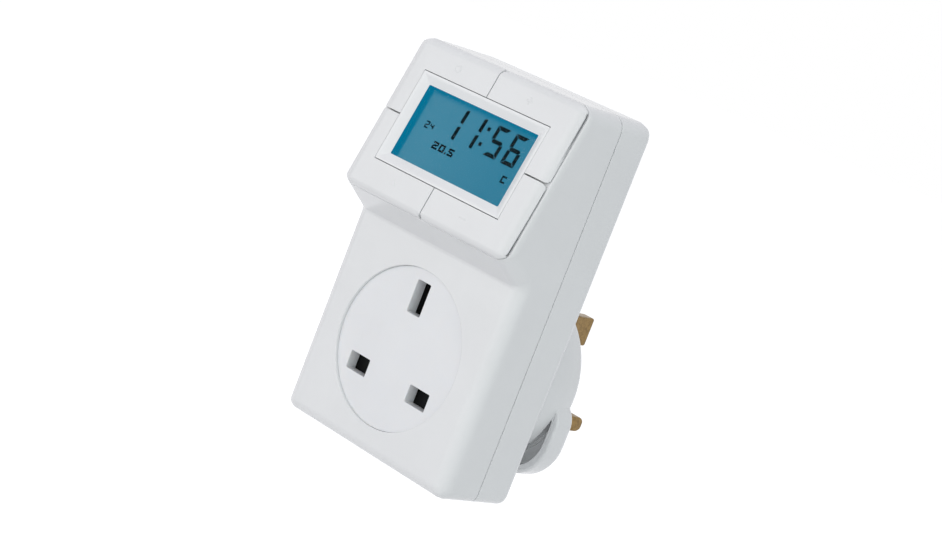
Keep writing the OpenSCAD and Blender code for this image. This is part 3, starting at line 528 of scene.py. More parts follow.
def build_moulded_grain(tree: bpy.types.NodeTree) -> None:
    """Builds the fine texture of a moulding: spark-eroded grain with pits, and slow clouding.

    Args:
        tree: The empty group.
    """
    pits_in_height, grain_in_gloss, cloud_in_gloss = 0.5, 0.35, 0.65
    group_sockets(tree, {"Grain": 4200.0, "Cloud": 55.0}, ("Height", "Cloud", "Gloss"))
    sheet = NodeSheet(tree)
    source = sheet.add("NodeGroupInput")
    result = sheet.add("NodeGroupOutput")
    place = sheet.add("ShaderNodeTexCoord").outputs["Object"]
    grain = sheet.add("ShaderNodeTexNoise", Detail=3.0, Roughness=0.6)
    pits = sheet.add("ShaderNodeTexVoronoi", feature="SMOOTH_F1")
    cloud = sheet.add("ShaderNodeTexNoise", Detail=4.0, Roughness=0.55, Distortion=0.6)
    for texture, scale in ((grain, "Grain"), (pits, "Grain"), (cloud, "Cloud")):
        sheet.link(place, texture.inputs["Vector"])
        sheet.link(source.outputs[scale], texture.inputs["Scale"])
    dents = sheet.math("MULTIPLY", pits.outputs["Distance"], pits_in_height)
    gloss = sheet.math("ADD", sheet.math("MULTIPLY", grain.outputs["Fac"], grain_in_gloss),
                       sheet.math("MULTIPLY", cloud.outputs["Fac"], cloud_in_gloss))
    sheet.link(sheet.math("ADD", grain.outputs["Fac"], dents), result.inputs["Height"])
    sheet.link(cloud.outputs["Fac"], result.inputs["Cloud"])
    sheet.link(gloss, result.inputs["Gloss"])


def build_drawn_metal(tree: bpy.types.NodeTree) -> None:
    """Builds the surface of drawn or stamped metal: fine lines along Y, and patches of tarnish.

    Args:
        tree: The empty group.
    """
    drawn_out = (1.0, 0.06, 1.0)
    group_sockets(tree, {"Lines": 2600.0, "Patches": 420.0}, ("Height", "Tarnish"))
    sheet = NodeSheet(tree)
    source = sheet.add("NodeGroupInput")
    result = sheet.add("NodeGroupOutput")
    place = sheet.add("ShaderNodeTexCoord").outputs["Object"]
    stretch = sheet.add("ShaderNodeMapping", Scale=drawn_out)
    sheet.link(place, stretch.inputs["Vector"])
    lines = sheet.add("ShaderNodeTexNoise", Detail=4.0, Roughness=0.65)
    patches = sheet.add("ShaderNodeTexNoise", Detail=6.0, Roughness=0.7, Distortion=0.8)
    ways = ((lines, stretch.outputs["Vector"], "Lines", "Height"), (patches, place, "Patches", "Tarnish"))
    for texture, spot, scale, output in ways:
        sheet.link(spot, texture.inputs["Vector"])
        sheet.link(source.outputs[scale], texture.inputs["Scale"])
        sheet.link(texture.outputs["Fac"], result.inputs[output])


def srgb(red: int, green: int, blue: int) -> Colour:
    """Turns a display colour into a linear one.

    Args:
        red: Its red, from 0 to 255.
        green: Its green.
        blue: Its blue.

    Returns:
        The linear colour.
    """
    linear = [c / 12.92 if c <= 0.04045 else ((c + 0.055) / 1.055) ** 2.4
              for c in (red / 255, green / 255, blue / 255)]
    return (*linear, 1.0)


def toned(colour: Colour, factor: float) -> Colour:
    """Returns a colour made lighter or darker by a factor."""
    return (*(c * factor for c in colour[:3]), 1.0)


@dataclass(frozen=True)
class Finish:
    """What every finish has: a name and a main colour."""

    name: str
    colour: Colour

    def sheet(self) -> tuple[bpy.types.Material, NodeSheet, bpy.types.Node]:
        """Starts the material.

        Returns:
            A new material, its sheet and its main shader, linked to the output.
        """
        material = bpy.data.materials.new(self.name)
        material.use_nodes = True
        sheet = NodeSheet(material.node_tree)
        shader = sheet.add("ShaderNodeBsdfPrincipled", Base_Color=self.colour)
        output = sheet.add("ShaderNodeOutputMaterial")
        sheet.link(shader.outputs["BSDF"], output.inputs["Surface"])
        return material, sheet, shader

    @staticmethod
    def effect(sheet: NodeSheet, kind: Effect, **values: float) -> bpy.types.Node:
        """Places a shared effect in a material with its own values and returns the node."""
        return sheet.add("ShaderNodeGroup", node_tree=kind.group(), **values)

    @staticmethod
    def blend(sheet: NodeSheet, mask: bpy.types.NodeSocket, low: Colour, high: Colour,
              spread: tuple[float, float] = (0.3, 0.7)) -> bpy.types.NodeSocket:
        """Adds a ramp of two colours over a mask.

        Args:
            sheet: The material's sheet.
            mask: The mask.
            low: Colour up to the first value of the spread.
            high: Colour from its second value on.
            spread: Where the mask leaves the one colour and reaches the other.

        Returns:
            The ramp's colour.
        """
        ramp = sheet.add("ShaderNodeValToRGB")
        for stop, place, colour in zip(ramp.color_ramp.elements, spread, (low, high)):
            stop.position = place
            stop.color = colour
        sheet.link(mask, ramp.inputs["Fac"])
        return ramp.outputs["Color"]

    @staticmethod
    def roughen(sheet: NodeSheet, shader: bpy.types.Node, mask: bpy.types.NodeSocket, middle: float,
                spread: float) -> None:
        """Lets a shader's roughness follow a mask, by a spread to both sides of its middle value."""
        rough = sheet.math("MULTIPLY", mask, 2 * spread)
        sheet.link(sheet.math("ADD", rough, middle - spread), shader.inputs["Roughness"])

    @staticmethod
    def bump(sheet: NodeSheet, shader: bpy.types.Node, height: bpy.types.NodeSocket, depth: float) -> None:
        """Raises a shader's surface.

        Args:
            sheet: The material's sheet.
            shader: The shader.
            height: The height, from 0 to 1.
            depth: What a height of 1 stands for, in millimetres.
        """
        node = sheet.add("ShaderNodeBump", Strength=1.0, Distance=depth * MM)
        sheet.link(height, node.inputs["Height"])
        sheet.link(node.outputs["Normal"], shader.inputs["Normal"])


@dataclass(frozen=True)
class MouldedPlastic(Finish):
    """Moulded plastic with a fine eroded grain."""

    roughness: float = 0.2
    spread: float = 0.05
    clouding: float = 0.015
    grain: float = 4200.0
    depth: float = 0.003
    shine: float = 0.5
    softness: float = 0.0
    soft_reach: float = 0.6
    soft_tint: tuple[float, float, float] = (1.0, 0.9, 0.8)

    def build(self) -> bpy.types.Material:
        """Builds the finish.

        Returns:
            The material.
        """
        material, sheet, shader = self.sheet()
        grain = self.effect(sheet, Effect.MOULDED_GRAIN, Grain=self.grain)
        darker, lighter = (toned(self.colour, 1 + way * self.clouding) for way in (-1, 1))
        colour = self.blend(sheet, grain.outputs["Cloud"], darker, lighter)
        sheet.link(colour, shader.inputs["Base Color"])
        self.roughen(sheet, shader, grain.outputs["Gloss"], self.roughness, self.spread)
        self.bump(sheet, shader, grain.outputs["Height"], self.depth)
        sheet.fill(shader, Specular_IOR_Level=self.shine)
        if self.softness:
            sheet.fill(shader, Subsurface_Weight=self.softness, Subsurface_Radius=self.soft_tint,
                       Subsurface_Scale=self.soft_reach * MM)
        return material


@dataclass(frozen=True)
class DrawnMetal(Finish):
    """Drawn, stamped or plated metal with patches of tarnish."""

    tarnish: Colour = (0.2, 0.2, 0.2, 1.0)
    roughness: float = 0.3
    spread: float = 0.15
    reach: tuple[float, float] = (0.42, 0.68)
    lines: float = 2600.0
    patches: float = 420.0
    depth: float = 0.004

    def build(self) -> bpy.types.Material:
        """Builds the finish.

        Returns:
            The material.
        """
        material, sheet, shader = self.sheet()
        metal = self.effect(sheet, Effect.DRAWN_METAL, Lines=self.lines, Patches=self.patches)
        colour = self.blend(sheet, metal.outputs["Tarnish"], self.colour, self.tarnish, self.reach)
        sheet.link(colour, shader.inputs["Base Color"])
        sheet.fill(shader, Metallic=1.0)
        self.roughen(sheet, shader, metal.outputs["Tarnish"], self.roughness, self.spread)
        self.bump(sheet, shader, metal.outputs["Height"], self.depth)
        return material


@dataclass(frozen=True)
class ClearPlastic(Finish):
    """Clear moulded plastic."""

    grain: float = 900.0
    cloud: float = 140.0
    bending: float = 1.06
    roughness: float = 0.01
    spread: float = 0.01

    def build(self) -> bpy.types.Material:
        """Builds the finish.

        Returns:
            The material.
        """
        material, sheet, shader = self.sheet()
        grain = self.effect(sheet, Effect.MOULDED_GRAIN, Grain=self.grain, Cloud=self.cloud)
        sheet.fill(shader, Transmission_Weight=1.0, IOR=self.bending)
        self.roughen(sheet, shader, grain.outputs["Gloss"], self.roughness, self.spread)
        return material


@dataclass(frozen=True)
class LitDisplay(Finish):
    """The display's lit glass: deeper to the right, with a painted shadow of the frame at its left and upper edge.
    """

    # Where the colour sockets of a Mix node stand
    MIX_LOW, MIX_HIGH, MIX_RESULT = 6, 7, 2
    MASK_MIDDLE = 0.5

    deep: Colour = (0.0, 0.0, 0.0, 1.0)
    # Colour of the painted shadow of the frame, which the places and fades below set out
    shade: Colour = (0.0, 0.0, 0.0, 1.0)
    left: float = -19.0
    top: float = 8.1
    left_fade: float = 0.9
    top_fade: float = 1.7
    half_w: float = 19.0
    cloud: float = 70.0
    unevenness: float = 0.25
    unlit: float = 0.02
    shine: float = 0.05
    roughness: float = 0.5
    lift: Vector = field(default_factory=lambda: Vector((0, 0, 1)))
    centre: Vector = field(default_factory=Vector)

    def build(self) -> bpy.types.Material:
        """Builds the finish.

        Returns:
            The material.
        """
        material, sheet, shader = self.sheet()
        place = sheet.add("ShaderNodeTexCoord").outputs["Object"]
        parts = sheet.add("ShaderNodeSeparateXYZ")
        sheet.link(place, parts.inputs["Vector"])
        rise = sheet.add("ShaderNodeVectorMath", operation="DOT_PRODUCT")
        sheet.link(place, rise.inputs[0])
        rise.inputs[1].default_value = self.lift
        up = sheet.math("SUBTRACT", rise.outputs["Value"], self.lift.dot(self.centre) * MM)
        # Masks of the painted frame shadow at the left and upper edge
        across = self._fade(sheet, parts.outputs["X"], self.left, -self.left_fade)
        above = self._fade(sheet, up, self.top, self.top_fade)
        grain = self.effect(sheet, Effect.MOULDED_GRAIN, Cloud=self.cloud)
        cloud = sheet.math("SUBTRACT", grain.outputs["Cloud"], self.MASK_MIDDLE)
        drift = self._fade(sheet, parts.outputs["X"], -self.half_w, 2 * self.half_w)
        depth = sheet.math("ADD", drift, sheet.math("MULTIPLY", cloud, self.unevenness))
        glow = self.blend(sheet, depth, self.colour, self.deep, (0.0, 1.0))
        # The shade colour is a painted shadow: the glow without the lamps' light, which is painted into the main
        # colour
        mix = sheet.add("ShaderNodeMix", data_type="RGBA")
        sheet.link(sheet.math("MAXIMUM", across, above), mix.inputs["Factor"])
        sheet.link(glow, mix.inputs[self.MIX_LOW])
        mix.inputs[self.MIX_HIGH].default_value = self.shade
        sheet.link(mix.outputs[self.MIX_RESULT], shader.inputs["Emission Color"])
        sheet.fill(shader, Emission_Strength=1.0, Base_Color=toned(self.shade, self.unlit),
                   Specular_IOR_Level=self.shine, Roughness=self.roughness)
        return material

    @staticmethod
    def _fade(sheet: NodeSheet, value: bpy.types.NodeSocket, start: float,
              width: float) -> bpy.types.NodeSocket:
        """Adds a mask that rises from 0 at a place to 1 after a width.

        Args:
            sheet: The material's sheet.
            value: The place of the shaded spot, in metres.
            start: Where the rise begins, in millimetres.
            width: Its width, less than 0 for a rise the other way.

        Returns:
            The mask.
        """
        ramp = sheet.add("ShaderNodeMapRange", interpolation_type="SMOOTHSTEP", clamp=True,
                         From_Min=start * MM, From_Max=(start + width) * MM)
        sheet.link(value, ramp.inputs["Value"])
        return ramp.outputs["Result"]


@dataclass(frozen=True)
class CircuitBoard(Finish):
    """Green solder resist over tracks."""

    tracks: Colour = (0.1, 0.3, 0.1, 1.0)
    cells: float = 420.0
    track_edge: tuple[float, float] = (0.48, 0.52)
    grain: float = 2500.0
    roughness: float = 0.35
    spread: float = 0.15
    depth: float = 0.02

    def build(self) -> bpy.types.Material:
        """Builds the finish.

        Returns:
            The material.
        """
        material, sheet, shader = self.sheet()
        place = sheet.add("ShaderNodeTexCoord").outputs["Object"]
        cells = sheet.add("ShaderNodeTexVoronoi", feature="F1", distance="MANHATTAN", Scale=self.cells)
        sheet.link(place, cells.inputs["Vector"])
        colour = self.blend(sheet, cells.outputs["Distance"], self.colour, self.tracks, self.track_edge)
        sheet.link(colour, shader.inputs["Base Color"])
        grain = self.effect(sheet, Effect.MOULDED_GRAIN, Grain=self.grain)
        self.roughen(sheet, shader, grain.outputs["Gloss"], self.roughness, self.spread)
        self.bump(sheet, shader, cells.outputs["Distance"], self.depth)
        return material


@dataclass(frozen=True)
class CaseSizes:
    """Sizes of the housing in millimetres, in the frame's axes, that several pieces share."""

    half_w: float
    low_z: float
    top_z: float
    face_y: float
    back_y: float
    tilt: float
    head_y: float
    head_z: float
    seam_y: float = -33.1
    seam_gap: float = 0.25
    ledge_z: float = 35.83
    ledge_slope: float = math.radians(33)
    edge_r: float = 4.0
    base_r: float = 2.5
    rear_r: float = 3.0
    brow_r: float = 1.5
    crown_r: float = 2.5
    foot_r: float = 1.2
    wall: float = 2.0
    plug_face_t: float = 3.2
    disc_sink: float = 0.8
    board_gap: float = 2.4
    deck_n: float = 2.0
    deck_low: float = 4.0
    bezel_w: float = 44.4
    bezel_h: float = 25.0

    @classmethod
    def from_frame(cls) -> "CaseSizes":
        """Reads from the frame what it knows.

        Returns:
            All sizes.
        """
        shell_low, shell_high = map(in_mm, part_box("front_shell"))
        cover_high = in_mm(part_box("rear_cover")[1])
        press = next(j for j in frame["joints"] if j["name"] == "top_left_press")["axis"]
        tilt = math.atan2(-press[2], press[1])
        bezel_low, bezel_high = map(in_mm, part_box("display_bezel"))
        half = cls.bezel_h / 2
        return cls(
            half_w=shell_high.x,
            low_z=shell_low.z,
            top_z=cover_high.z,
            face_y=in_mm(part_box("socket_disc")[0]).y - cls.disc_sink,
            back_y=in_mm(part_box("power_board")[1]).y + cls.wall + cls.board_gap,
            tilt=tilt,
            head_y=bezel_low.y + half * math.sin(tilt),
            head_z=bezel_high.z - half * math.cos(tilt),
        )

    @property
    def head(self) -> Matrix:
        """The head's frame: X across, Y up the slope, Z out of the face, origin at the display's centre."""
        turn = Matrix.Rotation(math.pi / 2 - self.tilt, 4, "X")
        return Matrix.Translation((0, self.head_y, self.head_z)) @ turn

    @property
    def outwards(self) -> Vector:
        """The direction out of the head's face."""
        return self.head.to_3x3() @ Vector((0, 0, 1))

    def below_face(self, depth: float) -> Vector:
        """Returns the place that lies a depth below the middle of the head's face."""
        return self.head @ Vector((0, 0, -depth))

    def brow(self) -> tuple[float, float]:
        """Crosses the ledge with the head's face.

        Returns:
            Y and Z where they meet.
        """
        rise = (math.cos(self.ledge_slope), math.sin(self.ledge_slope))
        up = (math.sin(self.tilt), math.cos(self.tilt))
        gap = (self.head_y - self.face_y, self.head_z - self.ledge_z)
        along = (gap[0] * up[1] - gap[1] * up[0]) / (-rise[0] * up[1] - rise[1] * up[0])
        return self.face_y - along * rise[0], self.ledge_z + along * rise[1]

    def crown(self) -> tuple[float, float]:
        """Returns Y and Z where the head's face meets the top."""
        return self.head_y + (self.top_z - self.head_z) * math.tan(self.tilt), self.top_z

    def across_y(self, x: float = 0.0, z: float = 0.0) -> Matrix:
        """Returns a frame whose Z runs along +Y, with X to the right and Y downwards, at a place."""
        return Matrix.Translation((x, 0, z)) @ Matrix.Rotation(-math.pi / 2, 4, "X")


@dataclass
class Housing:
    """The front shell and the rear cover with its boss and finger lip."""

    # Decimals by which the ends of an edge are told apart
    DIGITS = 3

    sizes: CaseSizes
    plastic: bpy.types.Material
    boss_z: float = 9.0
    neck_r: float = 23.2
    neck_flare: float = 0.8
    ridge_r: float = 24.5
    ridge_round: float = 20.0
    rim_r: float = 23.5
    lip_half: float = 25.9
    lip_low: float = -14.6
    lip_top: float = 8.4
    lip_corner: float = 11.5
    lip_shoulder: float = 6.5
    lip_t: float = 8.0
    lip_round: float = 3.4
    lip_front_round: float = 0.8
    lip_wall: float = 2.1
    pocket_d: float = 4.4
    pocket_r: float = 22.7
    pocket_play: float = 0.05
    cavity_r: float = 21.7
    pin_shoulder: float = 1.4
    pin_play: float = 0.05
    screw_head_r: float = 2.7
    recess_r: float = 2.76
    recess_d: float = 4.0
    hole_gap: float = 0.04
    spigot_in: float = 0.9
    edge: float = 0.16

    def block(self) -> Solid:
        """Builds the whole housing with all its edges rounded.

        Returns:
            One solid.
        """
        s = self.sizes
        low, foot = (s.face_y, s.low_z), (s.face_y, s.ledge_z)
        # Corners of the side view, each with the radius of its ridge and of the side edge after it
        corners = [
            (low, s.rear_r, s.edge_r),
            *((spot, 0.0, s.edge_r) for spot in fillet(low, foot, s.brow(), s.foot_r)),
            (s.brow(), s.brow_r, s.edge_r),
            (s.crown(), s.crown_r, s.edge_r),
            ((s.back_y, s.top_z), s.rear_r, s.rear_r),
            ((s.back_y, s.low_z), s.rear_r, s.base_r),
        ]
        rings = [[Vector((x, y, z)) for (y, z), _, _ in corners] for x in (-s.half_w, s.half_w)]
        solid = Solid.lofted(rings)
        mesh = solid.mesh
        layer = mesh.edges.layers.float.new(ROUNDING)
        mesh.verts.ensure_lookup_table()
        count = len(corners)
        for i, (_, ridge, side) in enumerate(corners):
            after = (i + 1) % count
            for a, b, radius in ((i, i + count, ridge), (i, after, side), (i + count, after + count, side)):
                edge = mesh.edges.get((mesh.verts[a], mesh.verts[b]))
                edge[layer] = radius * math.tan(edge.calc_face_angle() / 2)
        return solid.filleted(segments=8)

    def front_shell(self, disc_r: float, disc_z: float) -> bpy.types.Object:
        """Makes the front shell.

        Args:
            disc_r: Radius of the socket disc.
            disc_z: Height of the disc's centre.

        Returns:
            The piece.
        """
        s = self.sizes
        shell = self.block().cut(s.below_face(s.deck_n), s.outwards)
        hole_r = disc_r + self.hole_gap
        hole = Solid.turned([(hole_r, s.face_y - PAST), (hole_r, s.face_y + s.wall)], s.across_y(z=disc_z),
                            DISC_SIDES)
        half_w, half_h = s.bezel_w / 2 - self.spigot_in, s.bezel_h / 2 - self.spigot_in
        opening = Solid.extruded(box_outline(-half_w, half_w, -half_h, half_h), -s.deck_low, PAST - s.deck_n,
                                 s.head)
        shell.opened(hole, opening)
        shell.cut(Vector((0, s.seam_y, 0)), Vector((0, 1, 0)), fill=False)
        shell.shelled(s.wall).softened(self.edge)
        return shell.piece("front_shell_skin", self.plastic, "case", "shell_plastic", ["front_shell"])

    def lip_outline(self, inset: float) -> Outline:
        """Draws the finger lip's outline, seen from the front with Y downwards.

        Args:
            inset: How much smaller it is drawn all round.

        Returns:
            The outline.
        """
        x, low, top = self.lip_half - inset, -self.lip_low - inset, -self.lip_top + inset
        r, shoulder = self.lip_corner - inset, self.lip_shoulder - inset
        upper = arc((x - shoulder, top + shoulder), shoulder, -90, 0, steps=10)
        half = upper + arc((x - r, low - r), r, 0, 90, steps=16)
        return half + [(-u, v) for u, v in reversed(half)]

    def neck(self) -> Solid:
        """Turns the boss: a flared neck with a soft ridge and a round rim.

        Returns:
            The solid.
        """
        s, flare_r = self.sizes, self.neck_flare
        flare = arc((self.neck_r + flare_r, s.back_y + flare_r), flare_r, -90, -180, steps=6)
        back = arc((self.rim_r - self.lip_round, -self.lip_round), self.lip_round, 0, 90, steps=10)
        ridge = fillet(flare[-1], (self.ridge_r, -self.lip_t), back[0], self.ridge_round)
        profile = [(flare[0][0], s.back_y - s.wall / 2), *flare, *ridge, *back]
        return Solid.turned(profile, s.across_y(z=self.boss_z))

    def lip(self) -> Solid:
        """Builds the finger lip with its pocket, which the neck fills in part.

        Returns:
            The solid.
        """
        place = self.sizes.across_y()
        lip = Solid.extruded(self.lip_outline(0.0), -self.lip_t, 0, place)
        layer = lip.mesh.edges.layers.float.new(ROUNDING)
        rounding = {0.0: self.lip_round, -self.lip_t: self.lip_front_round}
        for edge in lip.mesh.edges:
            one, other = (round(v.co.y, self.DIGITS) for v in edge.verts)
            edge[layer] = rounding.get(one, 0.0) if one == other else 0.0
        inner = self.lip_outline(self.lip_wall)
        pocket = Solid.extruded(inner, -self.lip_t - PAST, self.pocket_d - self.lip_t, place)
        return lip.filleted(segments=6).minus(pocket)

    def undercut(self) -> Solid:
        """Builds the cutter that carries the pocket in under the neck's edge.

        Returns:
            The cutter.
        """
        outline = self.lip_outline(self.lip_wall + self.pocket_play)
        floor = self.pocket_d - self.lip_t - self.pocket_play
        ring = Solid.extruded(outline, -self.lip_t, floor, self.sizes.across_y())
        core = [(self.pocket_r, -self.lip_t - PAST), (self.pocket_r, PAST)]
        return ring.minus(Solid.turned(core, self.sizes.across_y(z=self.boss_z)))

    def rear_cover(self) -> bpy.types.Object:
        """Makes the rear cover.

        Returns:
            The piece.
        """
        s = self.sizes
        cover = self.block().cut(Vector((0, s.seam_y + s.seam_gap, 0)), Vector((0, -1, 0)), fill=False)
        cover.shelled(s.wall).plus(self.neck(), self.lip()).minus(self.undercut())
        cavity = [(self.cavity_r, s.back_y - s.wall - PAST), (self.cavity_r, -s.plug_face_t)]
        cover.minus(Solid.turned(cavity, s.across_y(z=self.boss_z)))
        cover.minus(*(self.pin_hole(node) for node in ("live_pin", "neutral_pin", "earth_pin")))
        cover.minus(*self.screw_recesses()).softened(self.edge)
        return cover.piece("rear_cover_skin", self.plastic, "case", "shell_plastic", ["rear_cover"])

    def pin_hole(self, node: str) -> Solid:
        """Builds the cutter for one pin's hole in the plug face.

        Args:
            node: The pin.

        Returns:
            The cutter.
        """
        low, high = map(in_mm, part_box(node))
        inset = self.pin_shoulder - self.pin_play
        outline = box_outline(low.x + inset, high.x - inset, -high.z + inset, -low.z - inset)
        return Solid.extruded(outline, -self.sizes.plug_face_t - PAST, PAST, self.sizes.across_y())

    def screw_recesses(self) -> list[Solid]:
        """Builds the cutters for the recesses over the case screws' heads.

        Returns:
            One cutter a screw.
        """
        s, r = self.sizes, self.screw_head_r
        low, high = map(in_mm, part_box("case_screws"))
        places = [(x, z) for x in (low.x + r, high.x - r) for z in (low.z + r, high.z - r)]
        profile = [(self.recess_r, s.back_y - self.recess_d), (self.recess_r, s.back_y + PAST)]
        return [Solid.turned(profile, s.across_y(x, z), sides=40) for x, z in places]


@dataclass
class SocketFace:
    """The round socket disc with its three slots."""

    sizes: CaseSizes
    plastic: bpy.types.Material
    radius: float = 20.8
    centre_z: float = 8.65
    thickness: float = 3.6
    flange_r: float = 22.6
    pitch: float = 22.2
    slot_wide: float = 6.95
    slot_thin: float = 4.575
    slot_earth: float = 8.525
    slot_corner: float = 0.25
    rim_round: float = 0.08
    edge: float = 0.22

    def slots(self) -> list[Solid]:
        """Builds the cutters for the three slots.

        Returns:
            One cutter a slot.
        """
        s = self.sizes
        half = self.pitch / 2
        sections = [(-half, 0.0, self.slot_wide, self.slot_thin), (half, 0.0, self.slot_wide, self.slot_thin),
                    (0.0, self.pitch, self.slot_thin, self.slot_earth)]
        front = s.face_y + s.disc_sink - PAST
        back = front + self.thickness + 2 * PAST
        return [Solid.extruded(rounded_rectangle(w / 2, h / 2, self.slot_corner, steps=2), front, back,
                               s.across_y(x, z))
                for x, z, w, h in sections]

    def disc(self) -> bpy.types.Object:
        """Makes the disc.

        Returns:
            The piece.
        """
        s = self.sizes
        face, step = s.face_y + s.disc_sink, s.face_y + s.wall
        rim = arc((self.radius - self.rim_round, face + self.rim_round), self.rim_round, -90, 0, steps=4)
        flange = [(self.flange_r, step), (self.flange_r, face + self.thickness)]
        disc = Solid.turned([*rim, (self.radius, step), *flange], s.across_y(z=self.centre_z), DISC_SIDES)
        disc.minus(*self.slots()).softened(self.edge)
        return disc.piece("socket_disc_face", self.plastic, "case", "disc_plastic", ["socket_disc"])


class Mark(Enum):
    """Plain signs that stand a little proud of the caps, each with its place."""

    RING = ("top", "left")
    CROSS = ("top", "right")
    ARROW = ("bottom", "left")
    BAR = ("bottom", "right")


@dataclass
class ButtonHead:
    """The four corner caps with their marks, and the bezel between them."""

    sizes: CaseSizes
    cap_plastic: bpy.types.Material
    bezel_plastic: bpy.types.Material
    # The display's material, painted as glow and frame shadow onto the bezel's inner walls
    glow: bpy.types.Material
    plate_t: float = 1.65
    corner_r: float = 1.3
    end_corner_r: float = 0.3
    edge: float = 0.09
    side_split: float = 0.38
    end_split: float = 0.3
    split_start: float = 1.0
    split_past: float = 3.0
    cutter_low: float = -6.0
    cutter_high: float = 4.0
    brow_in: float = 0.3
    bezel_gap: float = 0.18
    bezel_side_gap: float = 0.08
    stem_r: float = 1.8
    stem_u: float = 14.0
    stem_s: float = 15.6
    stem_low: float = 5.1
    stem_in: float = 0.4
    bezel_rim: float = 0.7
    bezel_corner: float = 0.3
    window_w: float = 38.7
    window_h: float = 19.6
    bezel_fall: float = 1.2
    brim_r: float = 1.4
    frame_low: float = 1.32
    pane_ledge: float = 1.2
    pane_play: float = 0.05
    painted_glow_below: float = 0.02
    spigot_in: float = 1.0
    mark_rise: float = 0.07
    mark_in: float = 0.05
    mark_edge: float = 0.03
    mark_u: float = 12.6
    mark_s: float = 16.2
    mark_half: float = 1.0
    mark_stroke: float = 0.16
    ring_inner: float = 0.72
    arrow_foot: float = 0.6
    arrow_tip: float = 0.9

    def split(self, gap: float, length: float, turn: float, radii: tuple[float, float]) -> Solid:
        """The cutter for one split between two caps, which opens in two arcs at the outer edge.

        Args:
            gap: Width of the split.
            length: Distance from the centre to the outer edge.
            turn: Direction of the split in the head's frame, in degrees.
            radii: Radius of the arc on its left and on its right, looking outwards.

        Returns:
            The cutter.
        """
        half, start, far = gap / 2, self.split_start, length + self.split_past
        left, right = (arc((length - r, half + r), r, -90, 0, steps=8) for r in radii)
        ends = [(far, -half - radii[1]), (far, half + radii[0])]
        outline = [(start, -half), *((x, -y) for x, y in right), *ends, *left[::-1], (start, half)]
        place = self.sizes.head @ Matrix.Rotation(math.radians(turn), 4, "Z")
        return Solid.extruded(outline, self.cutter_low, self.cutter_high, place)

    def splits(self) -> list[Solid]:
        """Builds the cutters for the four splits between the caps.

        Returns:
            One cutter a split.
        """
        s = self.sizes
        drop = s.edge_r - self.plate_t
        side = s.half_w - s.edge_r + math.sqrt(s.edge_r ** 2 - drop ** 2)
        top = (s.top_z - s.head_z) / math.cos(s.tilt)
        brow_y, brow_z = s.brow()
        bottom = math.hypot(brow_y - s.head_y, brow_z - s.head_z) - self.brow_in
        wide, narrow = self.corner_r, self.end_corner_r
        return [self.split(self.side_split, side, 0, (wide, wide)),
                self.split(self.end_split, top, 90, (narrow, wide)),
                self.split(self.side_split, side, 180, (wide, wide)),
                self.split(self.end_split, bottom, 270, (narrow, narrow))]

    def caps(self, block: Solid) -> list[bpy.types.Object]:
        """Makes the four caps.

        Args:
            block: The whole housing as one solid.

        Returns:
            The pieces.
        """
        s = self.sizes
        plate = block.cut(s.below_face(self.plate_t), -s.outwards)
        half_w, half_h = s.bezel_w / 2 + self.bezel_side_gap, s.bezel_h / 2 + self.bezel_gap
        opening = box_outline(-half_w, half_w, -half_h, half_h)
        plate.minus(Solid.extruded(opening, self.cutter_low, self.cutter_high, s.head), *self.splits())
        stem_profile = [(self.stem_r, -self.stem_low), (self.stem_r, self.stem_in - self.plate_t)]
        made = []
        for cap in plate.islands():
            spot = s.head.inverted() @ cap.middle()
            side, level = ("left" if spot.x < 0 else "right"), ("bottom" if spot.y < 0 else "top")
            u, v = math.copysign(self.stem_u, spot.x), math.copysign(self.stem_s, spot.y)
            stem = Solid.turned(stem_profile, s.head @ Matrix.Translation((u, v, 0)), sides=32)
            cap.plus(stem).softened(self.edge)
            made.append(cap.piece(f"cap_{level}_{side}", self.cap_plastic, f"{level}_{side}_button",
                                  "button_plastic", [f"button_{level}_{side}"]))
        return made

    def marks(self) -> list[bpy.types.Object]:
        """Makes the plain raised signs on the caps.

        Returns:
            The pieces.
        """
        made = []
        for mark in Mark:
            level, side = mark.value
            u = self.mark_u if side == "right" else -self.mark_u
            v = self.mark_s if level == "top" else -self.mark_s
            sign = self.sign(mark, self.sizes.head @ Matrix.Translation((u, v, 0)))
            sign.softened(self.mark_edge, segments=1)
            made.append(sign.piece(f"mark_{level}_{side}", self.cap_plastic, f"{level}_{side}_button",
                                   "button_plastic"))
        return made

    def sign(self, mark: Mark, place: Matrix) -> Solid:
        """Builds one raised sign.

        Args:
            mark: Which sign.
            place: Its frame on the cap.

        Returns:
            The solid.
        """
        low, high = -self.mark_in, self.mark_rise
        a, b, inner = self.mark_half, self.mark_stroke, self.ring_inner
        if mark is Mark.RING:
            profile = [(a, low), (a, high), (inner, high), (inner, low)]
            return Solid.turned(profile, place, sides=40, closed=True)
        outlines = {
            Mark.CROSS: [(-a, -b), (-b, -b), (-b, -a), (b, -a), (b, -b), (a, -b),
                         (a, b), (b, b), (b, a), (-b, a), (-b, b), (-a, b)],
            Mark.BAR: box_outline(-a, a, -b, b),
            Mark.ARROW: [(-a, -self.arrow_foot), (a, -self.arrow_foot), (0, self.arrow_tip)],
        }
        return Solid.extruded(outlines[mark], low, high, place)

    def bezel(self) -> bpy.types.Object:
        """Makes the bezel with its sloping inner faces, and with the display's glow and frame shadow painted on
        its walls below them.

        Returns:
            The piece.
        """
        s = self.sizes
        w, h = s.bezel_w / 2, s.bezel_h / 2
        slope_u, slope_s = w - self.window_w / 2, h - self.window_h / 2
        foot = (slope_u, -self.bezel_fall)
        brim = fillet((0.0, 0.0), (self.bezel_rim, 0.0), foot, self.brim_r, steps=4)
